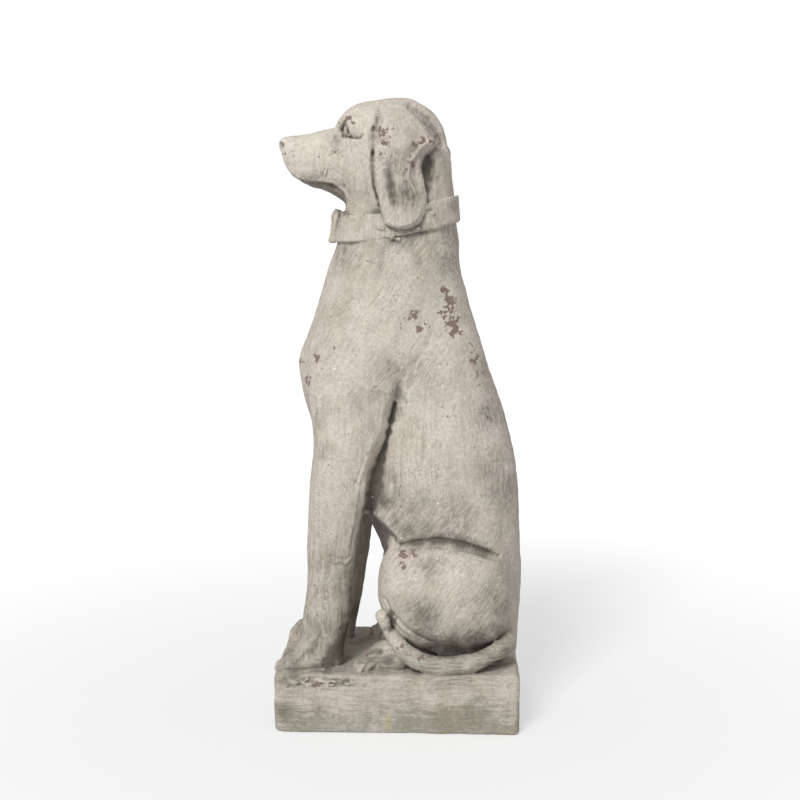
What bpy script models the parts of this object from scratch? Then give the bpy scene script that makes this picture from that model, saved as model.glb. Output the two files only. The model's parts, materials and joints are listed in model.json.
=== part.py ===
"""A garden statue of a seated hound in a collar, cast in one piece with its oblong plinth.

Metres, +Z up. The origin is the middle of the plinth's underside. The hound looks along -Y: +X is its left.
Its tail lies round its left side. The figure is built up like clay: each form is a solid region, given as a
distance from its surface, and is pressed into or cut from the block with a fillet of its own.
"""

import collections
import itertools
import math

import bpy
import numpy as np

# Driving dimensions, in metres.
PLINTH_LENGTH = 0.312
PLINTH_WIDTH = 0.220
PLINTH_HEIGHT = 0.0765
PLINTH_EDGE_RADIUS = 0.007
FIGURE_HEIGHT = 0.7235
COLLAR_WIDTH = 0.034
COLLAR_THICKNESS = 0.006
COLLAR_EDGE_RADIUS = 0.0026
BUCKLE_HEIGHT = 0.043
BUCKLE_WIDTH = 0.040
BUCKLE_BAR = 0.008
BUCKLE_CURVE = 6.0
TOE_GROOVE = 0.0025
FAR_LEG_SET_BACK = 1.9

# The modelling grid, and how many triangles the finished surface keeps.
GRID_STEP = 0.0026
GRID_MARGIN = 0.012
SMOOTHING_ROUNDS = 2
TRIANGLES = 9600

# The figure's own measures are shares: hundredths of its height, up from the plinth's top. Across, it comes
# from the plinth's width, which the hound and its tail fill.
SHARE = FIGURE_HEIGHT / 100
SIDE_SHARE = PLINTH_WIDTH / 30.4

Form = collections.namedtuple("Form", "distance low high")


def place(x, y, z):
    """The point of the figure at these shares, in metres."""
    return np.array([x * SIDE_SHARE, y * SHARE, PLINTH_HEIGHT + z * SHARE])


def smooth_union(a, b, fillet):
    """The nearer of two distances, rounded where they meet."""
    if fillet <= 0:
        return np.minimum(a, b)
    blend = np.maximum(fillet - np.abs(a - b), 0) / fillet
    return np.minimum(a, b) - blend * blend * fillet / 4


def smooth_overlap(a, b, fillet):
    return -smooth_union(-a, -b, fillet)


def curve_through(knots, values, at):
    """A smooth curve through the knots, read at the places asked for."""
    tangents = np.gradient(values, knots)
    at = np.clip(at, knots[0], knots[-1])
    i = np.clip(np.searchsorted(knots, at) - 1, 0, len(knots) - 2)
    span = knots[i + 1] - knots[i]
    t = (at - knots[i]) / span
    rise = values[i + 1] - values[i]
    start, end = tangents[i] * span - rise, rise - tangents[i + 1] * span
    return values[i] + rise * t + t * (1 - t) * ((1 - t) * start + t * end)


def oval_distance(across, along, half_across, half_along, squareness):
    """Distance from a squared-off oval, true near its edge."""
    a, b = np.abs(across) / half_across, np.abs(along) / half_along
    reach = np.maximum((a**squareness + b**squareness) ** (1 / squareness), 0.05)
    slope_a = (a / reach) ** (squareness - 1) / half_across
    slope_b = (b / reach) ** (squareness - 1) / half_along
    return (reach - 1) / np.maximum(np.hypot(slope_a, slope_b), 1e-6)


def ball(centre, radii, tilt=0, squareness=2.0):
    """An egg with its middle and its three radii in shares. Tilt turns it nose down, in degrees."""
    middle = place(*centre)
    radii = np.array(radii) * (SIDE_SHARE, SHARE, SHARE)
    c, s = math.cos(math.radians(tilt)), math.sin(math.radians(tilt))

    def distance(x, y, z):
        x, y, z = x - middle[0], y - middle[1], z - middle[2]
        y, z = c * y + s * z, c * z - s * y
        parts = [np.abs(v) / r for v, r in zip((x, y, z), radii)]
        reach = np.maximum(sum(v**squareness for v in parts) ** (1 / squareness), 0.05)
        slope = np.sqrt(sum(((v / reach) ** (squareness - 1) / r) ** 2 for v, r in zip(parts, radii)))
        return (reach - 1) / np.maximum(slope, 1e-6)

    extent = np.array([radii[0], np.hypot(c * radii[1], s * radii[2]), np.hypot(c * radii[2], s * radii[1])])
    return Form(distance, middle - extent, middle + extent)


def limb(rows, pieces=4):
    """A rounded tube along a smooth line. Each row is x, y, z and radius, in shares."""
    rows = np.array(rows, float)
    knots = np.arange(len(rows))
    at = np.linspace(0, len(rows) - 1, (len(rows) - 1) * pieces + 1)
    line = np.stack([curve_through(knots, column, at) for column in rows.T], 1)
    points = np.array([place(*row[:3]) for row in line])
    radii = line[:, 3] * SHARE

    def distance(x, y, z):
        nearest = np.inf
        for a, b, thick_a, thick_b in zip(points, points[1:], radii, radii[1:]):
            step = b - a
            x_a, y_a, z_a = x - a[0], y - a[1], z - a[2]
            t = np.clip((x_a * step[0] + y_a * step[1] + z_a * step[2]) / (step @ step), 0, 1)
            gap = np.sqrt((x_a - t * step[0]) ** 2 + (y_a - t * step[1]) ** 2 + (z_a - t * step[2]) ** 2)
            nearest = np.minimum(nearest, gap - thick_a - t * (thick_b - thick_a))
        return nearest

    return Form(distance, (points - radii[:, None]).min(0), (points + radii[:, None]).max(0))


def upright_loft(rows, squareness=2.0, cap=1.0):
    """Oval sections stacked up Z. Each row is height, front, back, middle in X and half width, in shares."""
    rows = np.array(rows, float)
    heights = PLINTH_HEIGHT + rows[:, 0] * SHARE
    front, back = (rows[:, 1:3] * SHARE).T
    middle, half = (rows[:, 3:] * SIDE_SHARE).T

    def distance(x, y, z):
        ends = [curve_through(heights, values, z) for values in (front, back, middle, half)]
        section = oval_distance(
            x - ends[2], y - (ends[0] + ends[1]) / 2, ends[3], (ends[1] - ends[0]) / 2, squareness
        )
        caps = np.maximum(heights[0] - z, z - heights[-1])
        return smooth_overlap(section, caps + 0 * section, cap * SHARE)

    low = np.array([(middle - half).min(), front.min(), heights[0]])
    high = np.array([(middle + half).max(), back.max(), heights[-1]])
    return Form(distance, low, high)


def level_loft(rows, squareness=2.0, cap=1.0):
    """Oval sections ranged along Y. Each row is y, bottom, top and half width, in shares."""
    rows = np.array(rows, float)
    along = rows[:, 0] * SHARE
    bottom, top = (PLINTH_HEIGHT + rows[:, 1:3] * SHARE).T
    half = rows[:, 3] * SIDE_SHARE

    def distance(x, y, z):
        ends = [curve_through(along, values, y) for values in (bottom, top, half)]
        section = oval_distance(
            x, z - (ends[0] + ends[1]) / 2, ends[2], (ends[1] - ends[0]) / 2, squareness
        )
        caps = np.maximum(along[0] - y, y - along[-1])
        return smooth_overlap(section, caps + 0 * section, cap * SHARE)

    low = np.array([-half.max(), along[0], bottom.min()])
    high = np.array([half.max(), along[-1], top.max()])
    return Form(distance, low, high)


def moved(form, side=1, back=0.0):
    """The form on the left (1) or mirrored to the right (-1), set back along Y by a share."""
    shift = back * SHARE
    low = np.array([side * form.low[0], form.low[1] + shift, form.low[2]])
    high = np.array([side * form.high[0], form.high[1] + shift, form.high[2]])

    def distance(x, y, z):
        return form.distance(side * x, y - shift, z)

    return Form(distance, np.minimum(low, high), np.maximum(low, high))


def on_both_sides(form):
    """The same form on the left and, mirrored, on the right."""
    low, high = form.low.copy(), form.high.copy()
    low[0] = -high[0]
    return Form(lambda x, y, z: form.distance(np.abs(x), y, z), low, high)


def merged(forms, fillet):
    """Several forms run into one another."""

    def distance(x, y, z):
        total = forms[0].distance(x, y, z)
        for form in forms[1:]:
            total = smooth_union(total, form.distance(x, y, z), fillet * SHARE)
        return total

    return Form(distance, np.min([f.low for f in forms], 0), np.max([f.high for f in forms], 0))


def beyond_plane(points, low, high):
    """All that the plane through three points faces, within a box. The points turn left round its normal."""
    a, b, c = (place(*point) for point in points)
    normal = np.cross(b - a, c - a)
    normal /= np.linalg.norm(normal)

    def distance(x, y, z):
        return -((x - a[0]) * normal[0] + (y - a[1]) * normal[1] + (z - a[2]) * normal[2])

    return Form(distance, place(*low), place(*high))


CORNERS = tuple(itertools.product((0, 1), repeat=3))


def touching_patterns():
    """For each pattern of a grid cell's corners, whether the surface would meet itself in the cell."""
    odd = np.zeros(256, bool)
    for code in range(256):
        inside = {corner: bool(code >> bit & 1) for bit, corner in enumerate(CORNERS)}
        for axis, level in itertools.product(range(3), (0, 1)):
            a, b, c, d = (value for corner, value in inside.items() if corner[axis] == level)
            odd[code] |= a == d and b == c and a != b
        for corner in CORNERS:
            opposite = tuple(1 - i for i in corner)
            others = [value for key, value in inside.items() if key not in (corner, opposite)]
            odd[code] |= inside[corner] == inside[opposite] and inside[corner] not in others
    return odd


class Clay:
    """A block of grid points, each holding its distance from the surface: below zero is inside."""

    def __init__(self, low, high):
        self.axes = [np.arange(a, b + GRID_STEP, GRID_STEP) for a, b in zip(low, high)]
        self.field = np.full([len(axis) for axis in self.axes], 1.0)

    def window(self, form, margin):
        """The part of the block that a form reaches, and the coordinates there."""
        spans = tuple(
            slice(*np.searchsorted(axis, (a - margin, b + margin)))
            for axis, a, b in zip(self.axes, form.low, form.high)
        )
        return spans, np.ix_(*[axis[span] for axis, span in zip(self.axes, spans)])

    def add(self, form, fillet=0.0):
        fillet *= SHARE
        spans, where = self.window(form, fillet + 3 * GRID_STEP)
        self.field[spans] = smooth_union(self.field[spans], form.distance(*where), fillet)

    def cut(self, form, fillet=0.0):
        fillet *= SHARE
        spans, where = self.window(form, fillet + 3 * GRID_STEP)
        self.field[spans] = smooth_overlap(self.field[spans], -form.distance(*where), fillet)

    def settle(self):
        """Fill grid points, the nearest first, until the surface nowhere touches itself."""
        odd = touching_patterns()
        corners = np.array(CORNERS)
        reach = np.array(self.field.shape) - 1
        code = np.zeros(reach, np.uint8)
        for bit, (i, j, k) in enumerate(CORNERS):
            inside = self.field[i : i + reach[0], j : j + reach[1], k : k + reach[2]] < 0
            code |= inside.astype(np.uint8) << bit
        cells = np.argwhere(odd[code])
        while len(cells):
            points = cells[:, None] + corners
            values = self.field[tuple(points.transpose(2, 0, 1))]
            touching = odd[((values < 0) << np.arange(8)).sum(1)]
            points, values = points[touching], values[touching]
            nearest = np.where(values < 0, np.inf, values).argmin(1)
            filled = points[np.arange(len(points)), nearest]
            self.field[tuple(filled.T)] = -0.1 * GRID_STEP
            cells = np.unique((filled[:, None] - corners).reshape(-1, 3), axis=0)

    def surface(self):
        """Points and quads of the surface, with one point in each grid cell that it crosses."""
        inside = self.field < 0
        shape = self.field.shape
        cells, crossings, flips = [], [], []
        for axis in range(3):
            near = tuple(slice(None, -1) if a == axis else slice(1, -1) for a in range(3))
            far = tuple(slice(1, None) if a == axis else slice(1, -1) for a in range(3))
            found = np.argwhere(inside[near] != inside[far])
            found += [0 if a == axis else 1 for a in range(3)]
            step = np.eye(3, dtype=int)[axis]
            value, beyond = self.field[tuple(found.T)], self.field[tuple((found + step).T)]
            crossings.append(found + (value / (value - beyond))[:, None] * step)
            flips.append(value > 0)
            side, other = np.eye(3, dtype=int)[[(axis + 1) % 3, (axis + 2) % 3]]
            corners = [found, found - side, found - side - other, found - other]
            cells.append(np.stack([np.ravel_multi_index(tuple(c.T), shape) for c in corners], 1))
        cells, crossings, flips = map(np.concatenate, (cells, crossings, flips))
        names, quads = np.unique(cells, return_inverse=True)
        quads = quads.reshape(-1, 4)
        counts = np.bincount(quads.ravel(), minlength=len(names))
        points = np.stack(
            [np.bincount(quads.ravel(), np.repeat(c, 4), len(names)) / counts for c in crossings.T], 1
        )
        origin = np.array([axis[0] for axis in self.axes])
        quads[flips] = quads[flips][:, ::-1]
        return origin + points * GRID_STEP, quads


def plinth():
    """The oblong block, with its edges worn round."""
    half = np.array([PLINTH_WIDTH, PLINTH_LENGTH, PLINTH_HEIGHT]) / 2
    core = half - PLINTH_EDGE_RADIUS

    def distance(x, y, z):
        over = [np.abs(v) - c for v, c in zip((x, y, z - half[2]), core)]
        outside = np.sqrt(sum(np.maximum(v, 0) ** 2 for v in over))
        inside = np.minimum(np.maximum(np.maximum(over[0], over[1]), over[2]), 0)
        return outside + inside - PLINTH_EDGE_RADIUS

    return Form(distance, np.array([-half[0], -half[1], 0]), np.array([half[0], half[1], 2 * half[2]]))


def worn_corner():
    """The knocked-off lower corner of the plinth, front left."""
    corner = [(15.2, -19.6, -10.6), (15.2, -21.6, -8.9), (13.6, -21.6, -10.6)]
    return beyond_plane(corner, (12, -23, -12), (17, -18, -7))


def trunk():
    """Rump, belly, ribs, chest and neck as one column of sections, up into the head."""
    return upright_loft(
        [
            (-1.0, 2.0, 21.6, 0, 9.0),
            (6.0, 0.6, 21.7, 0, 9.9),
            (12.0, -2.4, 22.1, 0, 10.7),
            (17.5, -6.0, 22.2, 0, 11.0),
            (23.0, -9.0, 21.9, 0, 11.2),
            (28.0, -10.6, 21.75, 0, 11.3),
            (32.0, -11.8, 21.5, 0, 11.3),
            (36.0, -12.9, 20.95, 0, 11.2),
            (41.0, -15.0, 19.85, 0, 11.0),
            (47.0, -16.8, 18.05, 0, 10.8),
            (53.5, -18.0, 15.75, 0, 10.3),
            (60.0, -15.8, 13.65, 0, 9.6),
            (66.0, -13.9, 11.8, 0, 8.9),
            (71.0, -12.3, 10.8, 0, 8.4),
            (76.0, -10.8, 10.3, 0, 8.0),
            (81.0, -9.5, 9.9, 0, 7.6),
            (86.0, -8.2, 9.3, 0, 7.1),
            (91.0, -5.0, 8.2, 0, 6.3),
        ],
        squareness=2.3,
        cap=3.0,
    )


def belly_face():
    """The belly's flat underside, steep behind the legs and easier up to the breast, with a shallow keel."""
    low, high = (-12.0, -12.5, -1.0), (12.0, 6.0, 36.0)
    steep = beyond_plane([(0, -6.1, 26.0), (8.3, -0.3, 22.24), (8.3, -2.85, 28.24)], low, high)
    easy = beyond_plane([(0, -6.1, 26.0), (8.3, -2.1, 24.8), (8.3, -5.1, 28.0)], low, high)

    def distance(x, y, z):
        return smooth_overlap(steep.distance(x, y, z), easy.distance(x, y, z), 0.6 * SHARE)

    return Form(distance, steep.low, steep.high)


def foreleg(reach=0.0):
    """The left foreleg, from the shoulder down to the wrist. Its foot is set forward by the reach."""
    rows = np.array(
        [
            (-0.6, -16.8, -9.6, 7.8, 3.3),
            (3.0, -16.8, -9.4, 7.8, 3.4),
            (7.0, -17.0, -8.9, 7.8, 3.7),
            (10.0, -16.5, -8.5, 7.8, 3.7),
            (15.0, -16.1, -8.0, 7.8, 3.5),
            (21.0, -16.0, -7.4, 7.9, 3.6),
            (26.0, -15.8, -6.6, 8.0, 3.9),
            (31.0, -15.6, -5.1, 8.2, 4.3),
            (37.0, -15.0, -3.3, 8.4, 4.6),
            (42.0, -14.8, -2.1, 8.3, 4.8),
            (48.0, -14.6, -0.8, 7.8, 4.8),
            (54.0, -14.0, 0.6, 6.7, 4.4),
            (60.0, -10.8, 1.8, 5.4, 3.6),
            (66.0, -7.0, 3.0, 4.0, 2.6),
        ]
    )
    rows[:, 1:3] -= reach * np.clip(1 - rows[:, :1] / 18, 0, 1)
    return upright_loft(rows, squareness=2.2, cap=1.5)


def wrist_bone():
    return ball((10.4, -12.2, 8.6), (1.1, 1.9, 2.1), tilt=10)


def tendon():
    """The ridge down the front of the wrist to the toes."""
    return limb(
        [(9.6, -15.2, 12.0, 0.4), (9.7, -15.7, 8.5, 0.7), (9.6, -16.4, 5.0, 0.8), (9.4, -17.9, 2.2, 0.6)]
    )


def armpit():
    """The deep crease between the elbow and the ribs."""
    return limb(
        [
            (13.2, -0.2, 50.0, 0.6),
            (12.6, -0.8, 46.5, 1.1),
            (12.0, -1.3, 42.0, 1.3),
            (11.5, -2.3, 38.2, 1.35),
            (10.9, -3.3, 34.8, 1.5),
            (10.3, -4.1, 31.6, 1.5),
            (9.4, -4.8, 28.8, 1.3),
            (7.6, -5.6, 27.4, 0.9),
        ]
    )


def haunch():
    """The folded hind leg: thigh and knee as one mass."""
    return merged(
        [
            ball((8.0, 8.8, 13.8), (6.3, 10.2, 10.1), squareness=2.3),
            ball((8.2, 4.1, 15.0), (5.9, 7.2, 8.0), tilt=-10, squareness=2.2),
            ball((7.4, 13.0, 12.6), (6.0, 6.0, 8.8), squareness=2.3),
        ],
        4.5,
    )


def shin():
    """The lower hind leg, showing as a band under the thigh's front edge."""
    return limb(
        [
            (8.4, 0.4, 14.4, 1.2),
            (9.4, 0.0, 11.0, 1.7),
            (9.9, 1.3, 7.9, 2.0),
            (9.4, 3.7, 5.6, 2.0),
            (8.6, 7.0, 4.4, 2.0),
            (8.2, 12.0, 4.0, 2.0),
        ]
    )


def shoulder():
    """The shoulder blade and upper arm, from beside the nape down to the breast."""
    return merged(
        [
            ball((6.2, -1.6, 61.0), (3.2, 5.2, 9.5), tilt=-24),
            ball((7.3, -7.6, 50.5), (4.0, 6.8, 9.0), tilt=-24),
        ],
        4.0,
    )


def loin_hollow():
    """The shallow hollow before the hip."""
    return ball((13.2, 13.5, 30.0), (2.2, 3.6, 6.5), tilt=14)


def tail():
    """The tail, out of the rump, along the plinth's left edge and up to its blunt tip before the knee."""
    return limb(
        [
            (3.0, 19.9, 4.8, 1.5),
            (7.5, 19.7, 4.2, 1.35),
            (10.9, 18.5, 3.9, 1.35),
            (12.6, 15.9, 2.9, 1.5),
            (13.2, 12.2, 1.7, 1.7),
            (13.3, 8.0, 1.25, 1.7),
            (13.2, 4.1, 2.0, 1.65),
            (12.9, 1.4, 3.8, 1.45),
            (12.5, -0.5, 5.9, 1.2),
            (12.2, -1.75, 7.5, 1.0),
            (12.0, -2.4, 9.7, 1.6),
        ]
    )


def toes(middle_x, spread, knuckle, tip, radius, fan=0.7):
    """Four toes side by side, each from a knuckle to a tip given as (y, z)."""
    forms = []
    for number in (-1.5, -0.5, 0.5, 1.5):
        set_back = 0.35 * number**2
        x = middle_x + number * spread
        forms.append(
            limb(
                [
                    (x - number * spread * fan * 0.6, knuckle[0] + 3.4, knuckle[1] - 0.5, radius * 0.8),
                    (x - number * spread * fan * 0.2, knuckle[0] + set_back, knuckle[1], radius),
                    (x, tip[0] + set_back, tip[1], radius * 0.9),
                ]
            )
        )
    return forms


def skull():
    return merged(
        [
            ball((0, -0.6, 90.4), (7.0, 9.3, 9.55)),
            ball((0, -4.7, 93.7), (5.9, 6.6, 5.5)),
        ],
        1.6,
    )


def cheek():
    """The side of the face, back under the ear."""
    return merged([ball((3.7, -2.4, 86.8), (3.6, 6.8, 6.0)), ball((4.6, 0.2, 84.0), (3.9, 3.6, 8.0))], 2.0)


def muzzle():
    """The upper jaw, down to the lips."""
    return level_loft(
        [
            (-20.95, 91.0, 92.6, 1.2),
            (-20.4, 89.0, 93.0, 2.0),
            (-19.4, 87.1, 93.25, 2.6),
            (-18.0, 85.9, 93.5, 3.0),
            (-16.0, 85.6, 93.85, 3.4),
            (-13.5, 85.3, 94.3, 3.8),
            (-11.2, 84.7, 94.8, 4.3),
            (-8.5, 83.4, 95.8, 5.0),
            (-5.0, 82.2, 96.8, 5.4),
        ],
        squareness=3.0,
        cap=0.5,
    )


def lower_jaw():
    return level_loft(
        [
            (-18.0, 85.7, 88.0, 0.8),
            (-16.1, 84.7, 88.5, 1.3),
            (-13.0, 83.8, 88.5, 1.7),
            (-10.4, 82.4, 88.5, 2.4),
            (-7.5, 80.4, 88.5, 3.7),
        ],
        squareness=2.2,
        cap=0.8,
    )


def brow():
    return limb(
        [(2.5, -10.9, 94.2, 0.4), (3.3, -10.0, 95.5, 0.6), (4.5, -8.3, 96.2, 0.6), (5.5, -6.0, 95.6, 0.35)]
    )


def eyelid():
    """The heavy upper lid, over the eye and back to the temple."""
    return ball((4.3, -7.3, 94.6), (1.7, 2.3, 1.9), tilt=12, squareness=2.2)


def eye_corner():
    """The deep corner of the eye, before the lid."""
    return ball((4.9, -9.35, 94.1), (1.2, 0.6, 1.15), tilt=-8)


def nose():
    return ball((0, -19.9, 91.9), (1.75, 1.15, 1.15), tilt=12)


def ear():
    """The left ear: a broad leather, bowed round the head and hanging over the collar."""
    rows = np.array(
        [
            # height, front, rear, middle in X, half thickness
            (77.2, -0.4, 1.8, 9.6, 0.45),
            (77.9, -1.9, 3.3, 9.6, 0.7),
            (79.4, -2.8, 4.5, 9.5, 0.85),
            (82.3, -3.4, 5.0, 9.2, 0.95),
            (85.5, -3.9, 4.5, 8.9, 1.0),
            (88.6, -4.15, 3.9, 8.5, 1.1),
            (90.2, -4.15, 4.6, 8.2, 1.2),
            (91.6, -4.1, 6.9, 8.1, 1.3),
            (93.4, -3.9, 6.2, 7.5, 1.5),
            (95.4, -3.6, 4.6, 6.4, 1.7),
            (97.6, -2.8, 2.4, 4.6, 1.5),
        ]
    )
    heights = PLINTH_HEIGHT + rows[:, 0] * SHARE
    front, rear, middle, thickness = (rows[:, 1:] * (SHARE, SHARE, SIDE_SHARE, SHARE)).T
    bow = 1.7 * SHARE

    def distance(x, y, z):
        ends = [curve_through(heights, values, z) for values in (front, rear, middle, thickness)]
        half = (ends[1] - ends[0]) / 2
        along = y - (ends[0] + ends[1]) / 2
        bowed = ends[2] - bow * np.minimum((along / (5 * SHARE)) ** 2, 1.5)
        section = oval_distance(x - bowed, along, ends[3], half, 2.5)
        caps = np.maximum(heights[0] - z, z - heights[-1])
        return smooth_overlap(section, caps + 0 * section, 0.8 * SHARE)

    low = np.array([middle.min() - bow * 1.5 - thickness.max(), front.min(), heights[0]])
    high = np.array([middle.max() + thickness.max(), rear.max(), heights[-1]])
    return Form(distance, low, high)


def ear_hollow():
    """The long hollow down the face of the ear."""
    return limb(
        [(10.4, -1.3, 92.5, 0.6), (10.8, -1.5, 88.5, 1.1), (11.1, -0.6, 84.5, 1.5), (11.3, 0.6, 81.2, 1.2)]
    )


def behind_ear():
    """The dark hollow between the rear of the ear and the neck."""
    return limb(
        [
            (6.6, 6.7, 90.5, 0.6),
            (6.3, 5.6, 89.0, 1.2),
            (6.4, 5.0, 87.0, 1.4),
            (6.8, 5.0, 84.8, 1.2),
            (7.6, 5.4, 82.8, 0.9),
        ]
    )


def collar_height(y):
    """How high the middle of the strap runs: level at the throat, rising to the nape."""
    t = np.clip((y / SHARE + 11.2) / 21.8, 0, 1)
    return PLINTH_HEIGHT + (77.2 + 3.7 * t**1.8) * SHARE


def collar():
    """A flat strap, standing proud of the neck all round."""
    neck = trunk()
    core = COLLAR_WIDTH / 2 - COLLAR_EDGE_RADIUS

    def distance(x, y, z):
        band = np.abs(z - collar_height(y)) - core
        proud = neck.distance(x, y, z) - COLLAR_THICKNESS + COLLAR_EDGE_RADIUS
        outside = np.hypot(np.maximum(band, 0), np.maximum(proud, 0))
        return outside + np.minimum(np.maximum(band, proud), 0) - COLLAR_EDGE_RADIUS

    return Form(distance, place(-9.4, -12.6, 74), place(9.4, 11.6, 84))


def buckle():
    """The square frame of the buckle, leaning against the throat."""
    lean = math.radians(11)
    middle = place(0, -11.6, 77.6)
    half_wide, half_tall = (BUCKLE_WIDTH - BUCKLE_BAR) / 2, (BUCKLE_HEIGHT - BUCKLE_BAR) / 2
    c, s = math.cos(lean), math.sin(lean)

    def distance(x, y, z):
        y, z = y - middle[1], z - middle[2]
        up, out = c * z + s * y, c * y - s * z
        out = out - BUCKLE_CURVE * x * x
        over_x, over_up = np.abs(x) - half_wide, np.abs(up) - half_tall
        inside = np.minimum(np.maximum(over_x, over_up), 0)
        frame = np.abs(np.hypot(np.maximum(over_x, 0), np.maximum(over_up, 0)) + inside)
        return np.hypot(frame, out) - BUCKLE_BAR / 2

    reach = np.array([BUCKLE_WIDTH / 2, BUCKLE_HEIGHT / 2, BUCKLE_HEIGHT / 2])
    return Form(distance, middle - reach, middle + reach)


def buckle_backing():
    """The doubled strap behind the buckle's frame."""
    return ball((0, -10.3, 77.5), (2.3, 1.5, 2.7), tilt=-14, squareness=3.0)


def elbow():
    return ball((10.4, -5.6, 32.0), (1.5, 1.3, 3.0), tilt=-20)


def throat_cord():
    """The long muscle from behind the jaw down to the breast."""
    return limb(
        [(6.6, -3.4, 75.0, 1.2), (6.6, -7.0, 67.5, 1.5), (5.0, -11.4, 60.0, 1.6), (3.0, -14.6, 54.0, 1.2)]
    )


def flank_fold():
    """The crease where the flank hangs over the top of the thigh."""
    return limb(
        [
            (10.4, -0.3, 22.0, 0.5),
            (11.7, 1.6, 22.7, 0.9),
            (12.2, 4.6, 23.3, 1.1),
            (12.2, 8.4, 23.5, 1.2),
            (11.7, 12.2, 22.6, 1.1),
            (10.6, 16.2, 20.7, 0.8),
        ]
    )


def model_body(clay):
    clay.add(trunk())
    clay.cut(on_both_sides(belly_face()), 0.5)
    clay.add(on_both_sides(throat_cord()), 3.0)
    clay.add(on_both_sides(shoulder()), 4.0)
    clay.cut(on_both_sides(loin_hollow()), 3.0)
    for side, back, reach in ((1, 0.0, 0.0), (-1, FAR_LEG_SET_BACK, 1.2)):
        clay.add(moved(foreleg(reach), side, back), 2.8)
        clay.add(moved(elbow(), side, back), 1.8)
        clay.add(moved(wrist_bone(), side, back), 1.2)
        clay.add(moved(tendon(), side, back), 0.9)
        clay.cut(moved(armpit(), side, back), 1.2)
    clay.add(on_both_sides(haunch()), 2.2)
    clay.cut(on_both_sides(flank_fold()), 1.0)
    clay.add(on_both_sides(shin()), 1.6)


def model_feet(clay):
    rounding = TOE_GROOVE / SHARE
    clay.add(ball((8.0, -16.2, 0.5), (3.9, 5.6, 2.2), tilt=16), 1.6)
    for toe in toes(8.0, 1.8, (-18.7, 0.7), (-21.3, -0.8), 1.05):
        clay.add(toe, rounding)
    clay.add(ball((-8.0, -14.9, 1.0), (3.7, 4.9, 2.5), tilt=10), 1.4)
    for toe in toes(-8.0, -1.8, (-18.3, 2.0), (-20.3, 0.2), 1.2):
        clay.add(toe, rounding)
    for side, reach in ((1, 0.0), (-1, 2.0)):
        clay.add(ball((side * 10.2, -1.9 + reach, 1.5), (3.2, 5.0, 3.3), tilt=20), 0.8)
        for toe in toes(side * 10.2, side * 1.6, (-4.4 + reach, 2.3), (-6.9 + reach, 0.5), 1.15):
            clay.add(toe, rounding)


def model_head(clay):
    clay.add(skull(), 2.0)
    clay.add(on_both_sides(cheek()), 2.4)
    clay.add(lower_jaw(), 1.0)
    clay.add(muzzle(), 0.4)
    clay.add(nose(), 0.7)
    clay.add(ball((0, 8.4, 90.5), (1.0, 0.7, 0.9)), 0.6)
    clay.add(on_both_sides(brow()), 0.9)
    clay.add(on_both_sides(eyelid()), 0.5)
    clay.cut(on_both_sides(eye_corner()), 0.35)
    clay.add(on_both_sides(ear()), 0.7)
    clay.cut(on_both_sides(behind_ear()), 0.35)


def model_collar(clay):
    clay.add(collar(), 0.2)
    clay.add(buckle_backing(), 0.3)
    clay.add(buckle(), 0.2)
    clay.add(on_both_sides(ear()), 0.3)
    clay.cut(on_both_sides(ear_hollow()), 1.0)


def model_statue():
    """The whole statue in clay."""
    margin = GRID_MARGIN
    reach = max(PLINTH_LENGTH / 2, 22.6 * SHARE) + margin
    side = PLINTH_WIDTH / 2 + margin
    clay = Clay((-side, -reach, -margin), (side, reach, PLINTH_HEIGHT + FIGURE_HEIGHT + margin))
    model_body(clay)
    model_head(clay)
    model_collar(clay)
    model_feet(clay)
    clay.add(tail(), 0.5)
    clay.add(plinth(), 0.6)
    clay.cut(worn_corner(), 0.7)
    clay.settle()
    return clay


def cast_stone():
    """Pale grey-beige cast stone, dry and matt."""
    material = bpy.data.materials.new("cast_stone")
    material.use_nodes = True
    shader = material.node_tree.nodes["Principled BSDF"]
    shader.inputs["Base Color"].default_value = (0.55, 0.51, 0.46, 1)
    shader.inputs["Roughness"].default_value = 0.9
    shader.inputs["Metallic"].default_value = 0.0
    return material


def main():
    for obj in list(bpy.data.objects):
        bpy.data.objects.remove(obj)
    points, quads = model_statue().surface()
    mesh = bpy.data.meshes.new("dog_statue")
    mesh.from_pydata(points.tolist(), [], quads.tolist())
    mesh.materials.append(cast_stone())
    statue = bpy.data.objects.new("dog_statue", mesh)
    bpy.context.scene.collection.objects.link(statue)
    smooth = statue.modifiers.new("Even out the grid", "SMOOTH")
    smooth.factor = 0.5
    smooth.iterations = round(SMOOTHING_ROUNDS)
    thin = statue.modifiers.new("Fewer faces", "DECIMATE")
    thin.ratio = min(1.0, TRIANGLES / (2 * len(quads)))
    thin.use_collapse_triangulate = True


main()
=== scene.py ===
"""The seated hound as it looks: the casting, its brushed wash and weathering, with floor, light and camera.

Metres, +Z up, in the part's own frame: the hound looks along -Y and +X is its left side. The figure is
modelled as clay is. Each form is a solid region, given as a distance from its surface, and is pressed into or
cut from the block with its own fillet. Fine lines are then scored, the casting's unevenness is added, and the
block becomes a mesh. How deep each point lies in a hollow is measured in the same block, and the finish
reads it, darkening the hollows with dirt and painted shade.
"""

import collections
import concurrent.futures
import itertools
import json
import math

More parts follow.
